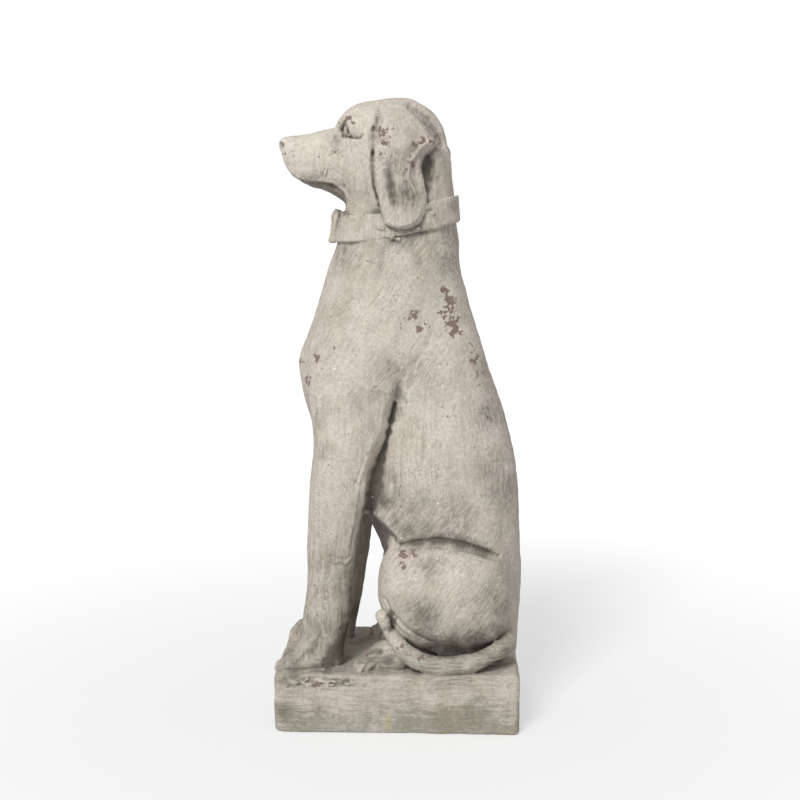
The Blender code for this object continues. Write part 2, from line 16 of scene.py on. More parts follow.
import bmesh
import bpy
import numpy as np
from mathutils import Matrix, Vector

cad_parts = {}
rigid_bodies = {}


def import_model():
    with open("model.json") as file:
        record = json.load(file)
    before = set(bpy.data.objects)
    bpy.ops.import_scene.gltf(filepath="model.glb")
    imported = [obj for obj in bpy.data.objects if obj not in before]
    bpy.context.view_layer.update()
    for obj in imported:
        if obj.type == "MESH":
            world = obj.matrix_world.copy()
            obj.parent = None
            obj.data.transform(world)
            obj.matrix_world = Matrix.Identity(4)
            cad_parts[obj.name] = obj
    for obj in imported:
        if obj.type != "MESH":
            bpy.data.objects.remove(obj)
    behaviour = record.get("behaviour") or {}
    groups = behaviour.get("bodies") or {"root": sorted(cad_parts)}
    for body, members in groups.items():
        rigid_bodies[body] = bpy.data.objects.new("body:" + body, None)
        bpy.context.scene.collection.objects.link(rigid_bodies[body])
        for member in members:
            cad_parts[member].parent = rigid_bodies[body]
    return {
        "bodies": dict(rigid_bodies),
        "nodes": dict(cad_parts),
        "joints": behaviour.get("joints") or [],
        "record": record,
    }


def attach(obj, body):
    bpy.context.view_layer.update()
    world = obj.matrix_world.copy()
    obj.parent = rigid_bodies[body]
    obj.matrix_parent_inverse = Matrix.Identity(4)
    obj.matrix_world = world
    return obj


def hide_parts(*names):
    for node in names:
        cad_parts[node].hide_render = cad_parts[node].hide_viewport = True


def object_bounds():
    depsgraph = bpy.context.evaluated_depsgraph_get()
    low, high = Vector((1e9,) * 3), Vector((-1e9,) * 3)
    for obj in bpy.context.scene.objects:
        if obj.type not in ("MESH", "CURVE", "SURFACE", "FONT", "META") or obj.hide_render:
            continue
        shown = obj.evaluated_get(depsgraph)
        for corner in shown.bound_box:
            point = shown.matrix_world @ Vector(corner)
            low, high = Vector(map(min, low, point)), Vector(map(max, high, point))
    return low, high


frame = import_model()
cad_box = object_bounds()

# The part's own sizes, in metres.
PLINTH_LENGTH = 0.312
PLINTH_WIDTH = 0.22
PLINTH_HEIGHT = 0.0765
PLINTH_EDGE_RADIUS = 0.007
PLINTH_WEAR = (0.0016, 0.0008, 0)
FIGURE_HEIGHT = 0.7235
COLLAR_WIDTH = 0.034
COLLAR_THICKNESS = 0.006
COLLAR_EDGE_RADIUS = 0.0022
BUCKLE_HEIGHT = 0.043
BUCKLE_WIDTH = 0.04
BUCKLE_BAR = 0.008
BUCKLE_CURVE = 6.0
TOE_GROOVE = 0.002
FAR_LEG_SET_BACK = 1.9
FAR_HIND_FOOT_SET_BACK = 2.0

# How far a scored line takes to reach its depth, in shares.
SCORE_FADE = 0.6

# The plinth is modelled a little too deep, then cut level with the floor.
BELOW_FLOOR = 0.002

# The modelling grid, the slabs it is worked in, and how many triangles the finished piece keeps.
GRID_STEP = 0.00125
GRID_MARGIN = 0.009
SLABS = 12
SLABS_AT_ONCE = 4
TRIANGLES = 197000

# Hundredths of the figure's height, up from the plinth's top. Across, a share comes from the plinth's
# width. Then half the length of the block, in shares.
SHARE = FIGURE_HEIGHT / 100
SIDE_SHARE = PLINTH_WIDTH / 30.4
HALF_LENGTH = 22.6

Form = collections.namedtuple("Form", "distance low high")
CORNERS = tuple(itertools.product((0, 1), repeat=3))


def place(x, y, z):
    """The point of the figure at these shares, in metres."""
    return np.array([x * SIDE_SHARE, y * SHARE, PLINTH_HEIGHT + z * SHARE])


def smooth_union(a, b, fillet):
    """The nearer of two distances, rounded where they meet."""
    if fillet <= 0:
        return np.minimum(a, b)
    blend = np.maximum(fillet - np.abs(a - b), 0) / fillet
    return np.minimum(a, b) - blend * blend * fillet / 4


def smooth_overlap(a, b, fillet):
    return -smooth_union(-a, -b, fillet)


def curve_through(knots, values, at):
    """A smooth curve through the knots, read at the places asked for."""
    tangents = np.gradient(values, knots)
    at = np.clip(at, knots[0], knots[-1])
    i = np.clip(np.searchsorted(knots, at) - 1, 0, len(knots) - 2)
    span = knots[i + 1] - knots[i]
    t = (at - knots[i]) / span
    rise = values[i + 1] - values[i]
    start, end = tangents[i] * span - rise, rise - tangents[i + 1] * span
    return (values[i] + rise * t + t * (1 - t) * ((1 - t) * start + t * end)).astype(np.float32)


def oval_distance(across, along, half_across, half_along, squareness):
    """Distance from a squared-off oval, true near its edge."""
    a, b = np.abs(across) / half_across, np.abs(along) / half_along
    reach = np.maximum((a**squareness + b**squareness) ** (1 / squareness), 0.05)
    slope_a = (a / reach) ** (squareness - 1) / half_across
    slope_b = (b / reach) ** (squareness - 1) / half_along
    return (reach - 1) / np.maximum(np.hypot(slope_a, slope_b), 1e-6)


def ball(centre, radii, tilt=0, squareness=2.0):
    """An egg with its middle and its three radii in shares. Tilt turns it nose down, in degrees."""
    middle = place(*centre)
    radii = np.array(radii) * (SIDE_SHARE, SHARE, SHARE)
    c, s = math.cos(math.radians(tilt)), math.sin(math.radians(tilt))

    def distance(x, y, z):
        x, y, z = x - middle[0], y - middle[1], z - middle[2]
        y, z = c * y + s * z, c * z - s * y
        parts = [np.abs(v) / r for v, r in zip((x, y, z), radii)]
        reach = np.maximum(sum(v**squareness for v in parts) ** (1 / squareness), 0.05)
        slope = np.sqrt(sum(((v / reach) ** (squareness - 1) / r) ** 2 for v, r in zip(parts, radii)))
        return (reach - 1) / np.maximum(slope, 1e-6)

    extent = np.array([radii[0], np.hypot(c * radii[1], s * radii[2]), np.hypot(c * radii[2], s * radii[1])])
    return Form(distance, middle - extent, middle + extent)


def smoothed(rows, pieces):
    """Rows of numbers along a line, with this many pieces between each row and the next."""
    rows = np.array(rows, float)
    knots = np.arange(len(rows))
    at = np.linspace(0, len(rows) - 1, (len(rows) - 1) * pieces + 1)
    return np.stack([curve_through(knots, column, at) for column in rows.T], 1)


def limb(rows):
    """A rounded tube along a smooth line. Each row is x, y, z and radius, in shares."""
    line = smoothed(rows, 4)
    points = np.array([place(*row[:3]) for row in line])
    radii = line[:, 3] * SHARE

    def distance(x, y, z):
        nearest = np.inf
        for a, b, thick_a, thick_b in zip(points, points[1:], radii, radii[1:]):
            step = b - a
            x_a, y_a, z_a = x - a[0], y - a[1], z - a[2]
            t = np.clip((x_a * step[0] + y_a * step[1] + z_a * step[2]) / (step @ step), 0, 1)
            gap = np.sqrt((x_a - t * step[0]) ** 2 + (y_a - t * step[1]) ** 2 + (z_a - t * step[2]) ** 2)
            nearest = np.minimum(nearest, gap - thick_a - t * (thick_b - thick_a))
        return nearest

    return Form(distance, (points - radii[:, None]).min(0), (points + radii[:, None]).max(0))


def upright_loft(rows, squareness, cap):
    """Oval sections stacked up Z. Each row is height, front, back, middle in X and half width, in shares."""
    rows = np.array(rows, float)
    heights = PLINTH_HEIGHT + rows[:, 0] * SHARE
    front, back = (rows[:, 1:3] * SHARE).T
    middle, half = (rows[:, 3:] * SIDE_SHARE).T

    def distance(x, y, z):
        ends = [curve_through(heights, values, z) for values in (front, back, middle, half)]
        along, half_along = y - (ends[0] + ends[1]) / 2, (ends[1] - ends[0]) / 2
        section = oval_distance(x - ends[2], along, ends[3], half_along, squareness)
        caps = np.maximum(heights[0] - z, z - heights[-1])
        return smooth_overlap(section, caps + 0 * section, cap * SHARE)

    low = np.array([(middle - half).min(), front.min(), heights[0]])
    high = np.array([(middle + half).max(), back.max(), heights[-1]])
    return Form(distance, low, high)


def level_loft(rows, squareness, cap):
    """Oval sections along Y, about the middle. Each row is y, bottom, top and half width, in shares."""
    rows = np.array(rows, float)
    along = rows[:, 0] * SHARE
    bottom, top = (PLINTH_HEIGHT + rows[:, 1:3] * SHARE).T
    half = rows[:, 3] * SIDE_SHARE

    def distance(x, y, z):
        ends = [curve_through(along, values, y) for values in (bottom, top, half)]
        upward, half_upward = z - (ends[0] + ends[1]) / 2, (ends[1] - ends[0]) / 2
        section = oval_distance(x, upward, ends[2], half_upward, squareness)
        caps = np.maximum(along[0] - y, y - along[-1])
        return smooth_overlap(section, caps + 0 * section, cap * SHARE)

    low = np.array([-half.max(), along[0], bottom.min()])
    high = np.array([half.max(), along[-1], top.max()])
    return Form(distance, low, high)


def moved(form, side, back):
    """The form on the left (1) or mirrored to the right (-1), set back along Y by a share."""
    shift = back * SHARE
    ends = [end * (side, 1, 1) + (0, shift, 0) for end in (form.low, form.high)]
    return Form(lambda x, y, z: form.distance(side * x, y - shift, z), np.min(ends, 0), np.max(ends, 0))


def on_both_sides(form):
    """The same form on the left and, mirrored, on the right."""
    low, high = form.low.copy(), form.high.copy()
    low[0] = -high[0]
    return Form(lambda x, y, z: form.distance(np.abs(x), y, z), low, high)


def merged(forms, fillet):
    """Several forms run into one another."""

    def distance(x, y, z):
        total = forms[0].distance(x, y, z)
        for form in forms[1:]:
            total = smooth_union(total, form.distance(x, y, z), fillet * SHARE)
        return total

    return Form(distance, np.min([f.low for f in forms], 0), np.max([f.high for f in forms], 0))


def beyond_plane(points, low, high):
    """All that the plane through three points faces, within a box. The points turn left round its normal."""
    a, b, c = (place(*point) for point in points)
    normal = np.cross(b - a, c - a)
    normal /= np.linalg.norm(normal)

    def distance(x, y, z):
        return -((x - a[0]) * normal[0] + (y - a[1]) * normal[1] + (z - a[2]) * normal[2])

    return Form(distance, place(*low), place(*high))


def touching_patterns():
    """For each pattern of a grid cell's corners, whether the surface would meet itself in the cell."""
    odd = np.zeros(256, bool)
    for code in range(256):
        inside = {corner: bool(code >> bit & 1) for bit, corner in enumerate(CORNERS)}
        for axis, level in itertools.product(range(3), (0, 1)):
            a, b, c, d = (value for corner, value in inside.items() if corner[axis] == level)
            odd[code] |= a == d and b == c and a != b
        for corner in CORNERS:
            opposite = tuple(1 - i for i in corner)
            others = [value for key, value in inside.items() if key not in (corner, opposite)]
            odd[code] |= inside[corner] == inside[opposite] and inside[corner] not in others
    return odd


class Swelling:
    """A smooth random swelling and sinking, with its own spacing along X, Y and Z, in millimetres."""

    # The box that it fills: its low corner and its size.
    LOW, SIZE = (-0.14, -0.19, -0.03), (0.28, 0.38, 0.86)

    def __init__(self, seed, spacing):
        self.spacing = np.array(spacing) / 1000
        counts = np.ceil(self.SIZE / self.spacing).astype(int) + 4
        self.knots = np.random.default_rng(seed).normal(size=counts).astype(np.float32)

    def at(self, axes):
        total = self.knots
        for axis, low, spacing in zip(axes, self.LOW, self.spacing):
            place_on, t = np.divmod((axis - low) / spacing, 1)
            first = place_on.astype(int)
            parts = ((1 - t) ** 3, 3 * t**3 - 6 * t**2 + 4, 3 * (1 - t) ** 3 - 6 * (1 - t) ** 2 + 4, t**3)
            weights = np.zeros((len(axis), total.shape[0]), np.float32)
            for step, part in enumerate(parts):
                weights[np.arange(len(axis)), first + step] = part / 6
            total = np.tensordot(total, weights, axes=(0, 1))
        return total


class Clay:
    """A block of grid points, each holding its distance from the surface: below zero is inside."""

    def __init__(self, axes):
        self.axes = axes
        self.field = np.full([len(axis) for axis in axes], 1.0, np.float32)

    def window(self, low, high, margin):
        """The part of the block between two corners, and the coordinates there."""
        ends = zip(self.axes, low - margin, high + margin)
        spans = tuple(slice(*np.searchsorted(axis, (a, b))) for axis, a, b in ends)
        return spans, np.ix_(*[axis[span] for axis, span in zip(self.axes, spans)])

    def add(self, form, fillet=0.0, sign=1):
        """Press a form into the block, or with a sign of -1 cut it out."""
        fillet *= SHARE
        spans, where = self.window(form.low, form.high, fillet + 3 * GRID_STEP)
        if self.field[spans].size:
            self.field[spans] = sign * smooth_union(sign * self.field[spans], form.distance(*where), fillet)

    def cut(self, form, fillet):
        self.add(form, fillet, -1)

    def score(self, line, width, depth, beyond, axis=0, side=1):
        """Press a line into the surface, or raise it where the depth is below zero.

        It is seen along an axis, X or Y, from one side, and starts this far out from the middle. The line's
        points are in shares, in the two other axes' order. The other measures are in shares too.
        """
        across = [i for i in range(3) if i != axis]
        scale = np.array([SIDE_SHARE, SHARE, SHARE])
        points = smoothed(line, 3) * scale[across] + [0, PLINTH_HEIGHT]
        low, high = np.full(3, -1.0), np.full(3, 1.0)
        low[across], high[across] = points.min(0), points.max(0)
        edge = side * beyond * scale[axis]
        (low if side > 0 else high)[axis] = edge
        spans, where = self.window(low, high, 2.5 * width * SHARE)
        if not self.field[spans].size:
            return
        u, v = (where[i] for i in across)
        nearest = np.float32(np.inf)
        for a, b in zip(points, points[1:]):
            step = b - a
            t = np.clip(((u - a[0]) * step[0] + (v - a[1]) * step[1]) / (step @ step), 0, 1)
            nearest = np.minimum(nearest, (u - a[0] - t * step[0]) ** 2 + (v - a[1] - t * step[1]) ** 2)
        gate = np.clip((side * (where[axis] - edge)) / (SCORE_FADE * SHARE), 0, 1)
        self.field[spans] += depth * SHARE * gate * np.exp(-nearest / (width * SHARE) ** 2)

    def roughen(self, swelling, depth, form=None, reach=1.0):
        """Add a swelling's unevenness, everywhere or only near a form."""
        if form is None:
            self.field += depth * SHARE * swelling.at(self.axes)
            return
        spans, where = self.window(form.low, form.high, 2 * reach * SHARE)
        if self.field[spans].size:
            near = np.exp(-((np.maximum(form.distance(*where), 0) / (reach * SHARE)) ** 2))
            axes = [axis[span] for axis, span in zip(self.axes, spans)]
            self.field[spans] += depth * SHARE * near * swelling.at(axes)

    def settle(self):
        """Fill grid points, the nearest first, until the surface nowhere touches itself."""
        odd = touching_patterns()
        corners = np.array(CORNERS)
        reach = np.array(self.field.shape) - 1
        code = np.zeros(reach, np.uint8)
        for bit, (i, j, k) in enumerate(CORNERS):
            inside = self.field[i : i + reach[0], j : j + reach[1], k : k + reach[2]] < 0
            code |= inside.astype(np.uint8) << bit
        cells = np.argwhere(odd[code])
        while len(cells):
            points = cells[:, None] + corners
            values = self.field[tuple(points.transpose(2, 0, 1))]
            touching = odd[((values < 0) << np.arange(8)).sum(1)]
            points, values = points[touching], values[touching]
            nearest = np.where(values < 0, np.inf, values).argmin(1)
            filled = points[np.arange(len(points)), nearest]
            self.field[tuple(filled.T)] = -0.1 * GRID_STEP
            cells = np.unique((filled[:, None] - corners).reshape(-1, 3), axis=0)

    def surface(self):
        """Points and quads of the surface, with one point in each grid cell that it crosses."""
        inside = self.field < 0
        shape = self.field.shape
        cells, crossings, flips = [], [], []
        for axis in range(3):
            near = tuple(slice(None, -1) if a == axis else slice(1, -1) for a in range(3))
            far = tuple(slice(1, None) if a == axis else slice(1, -1) for a in range(3))
            found = np.argwhere(inside[near] != inside[far])
            found += [0 if a == axis else 1 for a in range(3)]
            step = np.eye(3, dtype=int)[axis]
            value, beyond = self.field[tuple(found.T)], self.field[tuple((found + step).T)]
            crossings.append(found + (value / (value - beyond))[:, None] * step)
            flips.append(value > 0)
            side, other = np.eye(3, dtype=int)[[(axis + 1) % 3, (axis + 2) % 3]]
            corners = [found, found - side, found - side - other, found - other]
            cells.append(np.stack([np.ravel_multi_index(tuple(c.T), shape) for c in corners], 1))
        cells, crossings, flips = map(np.concatenate, (cells, crossings, flips))
        names, quads = np.unique(cells, return_inverse=True)
        quads = quads.reshape(-1, 4)
        counts = np.bincount(quads.ravel(), minlength=len(names))
        totals = [np.bincount(quads.ravel(), np.repeat(c, 4), len(names)) for c in crossings.T]
        points = np.stack([total / counts for total in totals], 1)
        origin = np.array([axis[0] for axis in self.axes])
        quads[flips] = quads[flips][:, ::-1]
        return origin + points * GRID_STEP, quads

    def fullness(self, radius, points, thin):
        """How much of the ground near each point is solid: half on a flat face, more in a hollow."""
        solid = (self.field[::thin, ::thin, ::thin] < 0).astype(np.float32)
        reach = max(1, round(radius / GRID_STEP / thin))
        for axis in range(3):
            for _ in range(2):
                padding = [(reach + 1, reach) if a == axis else (0, 0) for a in range(3)]
                total = np.cumsum(np.pad(solid, padding, mode="edge"), axis=axis, dtype=np.float32)
                count = solid.shape[axis]
                ahead = np.take(total, np.arange(2 * reach + 1, 2 * reach + 1 + count), axis=axis)
                behind = np.take(total, np.arange(count), axis=axis)
                solid = (ahead - behind) / (2 * reach + 1)
        origin = np.array([axis[0] for axis in self.axes])
        at = np.clip((points - origin) / (GRID_STEP * thin), 0, np.array(solid.shape) - 1.001)
        first = at.astype(int)
        t = (at - first).T
        value = 0
        for i, j, k in CORNERS:
            weight = abs(1 - i - t[0]) * abs(1 - j - t[1]) * abs(1 - k - t[2])
            value = value + weight * solid[first[:, 0] + i, first[:, 1] + j, first[:, 2] + k]
        return value


def plinth():
    """The oblong block, with its edges worn round."""
    half = np.array([PLINTH_WIDTH, PLINTH_LENGTH, PLINTH_HEIGHT + BELOW_FLOOR]) / 2 - PLINTH_WEAR
    core = half - PLINTH_EDGE_RADIUS

    def distance(x, y, z):
        over = [np.abs(v) - c for v, c in zip((x, y, z + BELOW_FLOOR - half[2]), core)]
        outside = np.sqrt(sum(np.maximum(v, 0) ** 2 for v in over))
        inside = np.minimum(np.maximum(np.maximum(over[0], over[1]), over[2]), 0)
        return outside + inside - PLINTH_EDGE_RADIUS

    low, high = np.array([-half[0], -half[1], -BELOW_FLOOR]), np.array([half[0], half[1], PLINTH_HEIGHT])
    return Form(distance, low, high)


def worn_corner():
    """The knocked-off lower corner of the plinth, front left."""
    points = [(15.2, -19.6, -10.6), (15.2, -21.6, -8.9), (13.6, -21.6, -10.6)]
    return beyond_plane(points, (12, -23, -12), (17, -18, -7))


def trunk():
    """Rump, belly, ribs, chest and neck as one column of sections, up into the head."""
    return upright_loft([
        (-1.0, 2.0, 21.6, 0, 9.0), (6.0, 0.6, 21.7, 0, 9.9), (12.0, -2.4, 22.1, 0, 10.7),
        (17.5, -6.0, 22.2, 0, 11.0), (23.0, -9.0, 21.9, 0, 11.2), (28.0, -10.6, 21.75, 0, 11.3),
        (32.0, -11.8, 21.5, 0, 11.3), (36.0, -12.9, 20.95, 0, 11.2), (41.0, -15.0, 19.85, 0, 11.0),
        (47.0, -16.8, 18.05, 0, 10.8), (53.5, -18.0, 15.75, 0, 10.3), (60.0, -15.8, 13.65, 0, 9.6),
        (66.0, -13.9, 11.8, 0, 8.9), (71.0, -12.3, 10.8, 0, 8.4), (76.0, -10.8, 10.3, 0, 8.0),
        (81.0, -9.5, 9.9, 0, 7.6), (86.0, -8.2, 9.3, 0, 7.1), (91.0, -5.0, 8.2, 0, 6.3),
    ], squareness=2.3, cap=3.0)


def belly_face():
    """The flat underside of the belly, steep behind the legs and easier up to the breast, with a keel."""
    low, high = (-12.0, -12.5, -1.0), (12.0, 6.0, 36.0)
    steep = beyond_plane([(0, -6.1, 26.0), (8.3, -0.3, 22.24), (8.3, -2.85, 28.24)], low, high)
    easy = beyond_plane([(0, -6.1, 26.0), (8.3, -2.1, 24.8), (8.3, -5.1, 28.0)], low, high)

    def distance(x, y, z):
        return smooth_overlap(steep.distance(x, y, z), easy.distance(x, y, z), 0.6 * SHARE)

    return Form(distance, steep.low, steep.high)


def foreleg(reach):
    """The left foreleg, from the shoulder down to the wrist. Its foot is set forward by the reach."""
    rows = np.array([
        (-0.6, -16.8, -9.6, 7.8, 3.3), (3.0, -16.8, -9.4, 7.8, 3.4), (7.0, -17.0, -8.9, 7.8, 3.7),
        (10.0, -16.5, -8.5, 7.8, 3.7), (15.0, -16.1, -8.0, 7.8, 3.5), (21.0, -16.0, -7.4, 7.9, 3.6),
        (26.0, -15.8, -6.6, 8.0, 3.9), (31.0, -15.6, -5.1, 8.2, 4.3), (37.0, -15.0, -3.3, 8.4, 4.6),
        (42.0, -14.8, -2.1, 8.3, 4.8), (48.0, -14.6, -0.8, 7.8, 4.8), (54.0, -14.0, 0.6, 6.7, 4.4),
        (60.0, -10.8, 1.8, 5.4, 3.6), (66.0, -7.0, 3.0, 4.0, 2.6),
    ])
    rows[:, 1:3] -= reach * np.clip(1 - rows[:, :1] / 18, 0, 1)
    return upright_loft(rows, squareness=2.2, cap=1.5)


def wrist_bone():
    return ball((10.4, -12.2, 8.6), (1.1, 1.9, 2.1), tilt=10)


def tendon():
    """The ridge down the front of the wrist to the toes."""
    return limb([
        (9.6, -15.2, 12.0, 0.4), (9.7, -15.7, 8.5, 0.7), (9.6, -16.4, 5.0, 0.8), (9.4, -17.9, 2.2, 0.6),
    ])


def armpit():
    """The deep crease between the elbow and the ribs."""
    return limb([
        (13.2, -0.2, 50.0, 0.6), (12.6, -0.8, 46.5, 1.1), (12.0, -1.3, 42.0, 1.3), (11.5, -2.3, 38.2, 1.35),
        (10.9, -3.3, 34.8, 1.5), (10.3, -4.1, 31.6, 1.5), (9.4, -4.8, 28.8, 1.3), (7.6, -5.6, 27.4, 0.9),
    ])


def haunch():
    """The folded hind leg: thigh and knee as one mass."""
    return merged([
        ball((8.0, 8.8, 13.8), (6.3, 10.2, 10.1), squareness=2.3),
        ball((8.2, 4.1, 15.0), (5.9, 7.2, 8.0), tilt=-10, squareness=2.2),
        ball((7.4, 13.0, 12.6), (6.0, 6.0, 8.8), squareness=2.3),
    ], 4.5)


def shin():
    """The lower hind leg, showing as a band under the thigh's front edge."""
    return limb([
        (8.4, 0.4, 14.4, 1.2), (9.4, 0.0, 11.0, 1.7), (9.9, 1.3, 7.9, 2.0), (9.4, 3.7, 5.6, 2.0),
        (8.6, 7.0, 4.4, 2.0), (8.2, 12.0, 4.0, 2.0),
    ])


def flank_fold():
    """The crease under the flank, over the thigh."""
    return limb([
        (10.4, -0.3, 22.0, 0.5), (11.7, 1.6, 22.7, 0.9), (12.2, 4.6, 23.3, 1.1), (12.2, 8.4, 23.5, 1.2),
        (11.7, 12.2, 22.6, 1.1), (10.6, 16.2, 20.7, 0.8),
    ])


def shoulder():
    """The shoulder blade and upper arm, from beside the nape down to the breast."""
    return merged([
        ball((6.2, -1.6, 61.0), (3.2, 5.2, 9.5), tilt=-24),
        ball((7.3, -7.6, 50.5), (4.0, 6.8, 9.0), tilt=-24),
    ], 4.0)


def loin_hollow():
    """The shallow hollow before the hip."""
    return ball((13.2, 13.5, 30.0), (2.2, 3.6, 6.5), tilt=14)


def tail():
    """The tail, out of the rump, along the plinth's left edge and up to its blunt tip before the knee."""
    return limb([
        (3.0, 19.9, 4.8, 1.5), (7.5, 19.7, 4.2, 1.35), (10.9, 18.5, 3.9, 1.35), (12.6, 15.9, 2.9, 1.5),
        (13.2, 12.2, 1.7, 1.7), (13.3, 8.0, 1.25, 1.7), (13.2, 4.1, 2.0, 1.65), (12.9, 1.4, 3.8, 1.45),
        (12.5, -0.5, 5.9, 1.2), (12.2, -1.75, 7.5, 1.0), (12.0, -2.4, 9.7, 1.6),
    ])


def toes(middle_x, spread, knuckle, tip, radius):
    """Four toes side by side, drawn together behind. Knuckle and tip are given as (y, z)."""
    gather = 0.7
    (y, z), (tip_y, tip_z), forms = knuckle, tip, []
    for number in (-1.5, -0.5, 0.5, 1.5):
        back = 0.35 * number**2
        forms.append(limb([
            (middle_x + number * spread * (1 - gather * 0.6), y + 3.4, z - 0.5, radius * 0.8),
            (middle_x + number * spread * (1 - gather * 0.2), y + back, z, radius),
            (middle_x + number * spread, tip_y + back, tip_z, radius * 0.9),
        ]))
    return forms


def skull():
    return merged([
        ball((0, -0.6, 90.4), (7.0, 9.3, 9.55)), ball((0, -4.7, 93.7), (5.9, 6.6, 5.5)),
    ], 1.6)


def cheek():
    """The side of the face, back under the ear."""
    return merged([ball((3.7, -2.4, 86.8), (3.6, 6.8, 6.0)), ball((4.6, 0.2, 84.0), (3.9, 3.6, 8.0))], 2.0)


def muzzle():
    """The upper jaw, down to the lips."""
    return level_loft([
        (-20.95, 91.0, 92.6, 1.2), (-20.4, 89.0, 93.0, 2.0), (-19.4, 87.1, 93.25, 2.6),
        (-18.0, 85.9, 93.5, 3.0), (-16.0, 85.6, 93.85, 3.4), (-13.5, 85.3, 94.3, 3.8),
        (-11.2, 84.7, 94.8, 4.3), (-8.5, 83.4, 95.8, 5.0), (-5.0, 82.2, 96.8, 5.4),
    ], squareness=3.0, cap=0.5)


def lower_jaw():
    return level_loft([
        (-18.0, 85.7, 88.0, 0.8), (-16.1, 84.7, 88.5, 1.3), (-13.0, 83.8, 88.5, 1.7),
        (-10.4, 82.4, 88.5, 2.4), (-7.5, 80.4, 88.5, 3.7),
    ], squareness=2.2, cap=0.8)


def brow():
    return limb([
        (2.5, -10.9, 94.2, 0.4), (3.3, -10.0, 95.5, 0.6), (4.5, -8.3, 96.2, 0.6), (5.5, -6.0, 95.6, 0.35),
    ])


def ear():
    """The left ear: a broad leather, bowed round the head and hanging over the collar."""
    rows = np.array([
        # height, front, rear, middle in X, half thickness
        (77.2, -0.4, 1.8, 9.6, 0.45), (77.9, -1.9, 3.3, 9.6, 0.7), (79.4, -2.8, 4.5, 9.5, 0.85),
        (82.3, -3.4, 5.0, 9.2, 0.95), (85.5, -3.9, 4.5, 8.9, 1.0), (88.6, -4.15, 3.9, 8.5, 1.1),
        (90.2, -4.15, 4.6, 8.2, 1.2), (91.6, -4.1, 6.9, 8.1, 1.3), (93.4, -3.9, 6.2, 7.5, 1.5),
        (95.4, -3.6, 4.6, 6.4, 1.7), (97.6, -2.8, 2.4, 4.6, 1.5),
    ])
    heights = PLINTH_HEIGHT + rows[:, 0] * SHARE
    front, rear, middle, thickness = (rows[:, 1:] * (SHARE, SHARE, SIDE_SHARE, SHARE)).T
    bow = 1.7 * SHARE

    def distance(x, y, z):
        ends = [curve_through(heights, values, z) for values in (front, rear, middle, thickness)]
        half = (ends[1] - ends[0]) / 2
        along = y - (ends[0] + ends[1]) / 2
        bowed = ends[2] - bow * np.minimum((along / (5 * SHARE)) ** 2, 1.5)
        section = oval_distance(x - bowed, along, ends[3], half, 2.5)
        caps = np.maximum(heights[0] - z, z - heights[-1])
        return smooth_overlap(section, caps + 0 * section, 0.8 * SHARE)

    low = np.array([middle.min() - bow * 1.5 - thickness.max(), front.min(), heights[0]])
    high = np.array([middle.max() + thickness.max(), rear.max(), heights[-1]])
    return Form(distance, low, high)


def ear_hollow():
    """The long hollow down the face of the ear."""
    return limb([
        (10.4, -1.3, 92.5, 0.6), (10.8, -1.5, 88.5, 1.1), (11.1, -0.6, 84.5, 1.5), (11.3, 0.6, 81.2, 1.2),
    ])


def behind_ear():
    """The dark hollow between the rear of the ear and the neck."""
    return limb([
        (6.6, 6.7, 90.5, 0.6), (6.3, 5.6, 89.0, 1.2), (6.4, 5.0, 87.0, 1.4), (6.8, 5.0, 84.8, 1.2),
        (7.6, 5.4, 82.8, 0.9),
    ])


def collar_height(y):
    """How high the middle of the strap runs: level at the throat, rising to the nape."""
    t = np.clip((y / SHARE + 11.2) / 21.8, 0, 1)
    return PLINTH_HEIGHT + (77.2 + 3.7 * t**1.8) * SHARE


def collar():
    """A flat strap, standing proud of the neck all round."""
    neck = trunk()
    core = COLLAR_WIDTH / 2 - COLLAR_EDGE_RADIUS

    def distance(x, y, z):
        band = np.abs(z - collar_height(y)) - core
        proud = neck.distance(x, y, z) - COLLAR_THICKNESS + COLLAR_EDGE_RADIUS
        outside = np.hypot(np.maximum(band, 0), np.maximum(proud, 0))
        return outside + np.minimum(np.maximum(band, proud), 0) - COLLAR_EDGE_RADIUS

    return Form(distance, place(-9.4, -12.6, 74), place(9.4, 11.6, 84))


def buckle():
    """The square frame of the buckle, leaning against the throat."""
    lean = math.radians(11)
    middle = place(0, -11.6, 77.6)
    half_wide, half_tall = (BUCKLE_WIDTH - BUCKLE_BAR) / 2, (BUCKLE_HEIGHT - BUCKLE_BAR) / 2
    c, s = math.cos(lean), math.sin(lean)

    def distance(x, y, z):
        y, z = y - middle[1], z - middle[2]
        up, out = c * z + s * y, c * y - s * z
        out = out - BUCKLE_CURVE * x * x
        over_x, over_up = np.abs(x) - half_wide, np.abs(up) - half_tall
        inside = np.minimum(np.maximum(over_x, over_up), 0)
        frame = np.abs(np.hypot(np.maximum(over_x, 0), np.maximum(over_up, 0)) + inside)
        return np.hypot(frame, out) - BUCKLE_BAR / 2

    reach = np.array([BUCKLE_WIDTH / 2, BUCKLE_HEIGHT / 2, BUCKLE_HEIGHT / 2])
    return Form(distance, middle - reach, middle + reach)


def eyelid():
    """The heavy upper lid, over the eye and back to the temple."""
    return ball((4.3, -7.3, 94.6), (1.7, 2.3, 1.9), tilt=12, squareness=2.2)


def eye_corner():
    """The deep corner of the eye, before the lid."""
    return ball((4.9, -9.35, 94.1), (1.2, 0.6, 1.15), tilt=-8)


def nose():
    return ball((0, -19.9, 91.9), (1.75, 1.15, 1.15), tilt=12)


def buckle_backing():
    """The doubled strap behind the buckle's frame."""
    return ball((0, -10.3, 77.5), (2.3, 1.5, 2.7), tilt=-14, squareness=3.0)


def buckle_tongue():
    return limb([
        (0, -11.2, 80.4, 0.3), (0, -11.85, 79.4, 0.34), (0, -12.0, 77.6, 0.34), (0, -12.3, 75.3, 0.28),
    ])


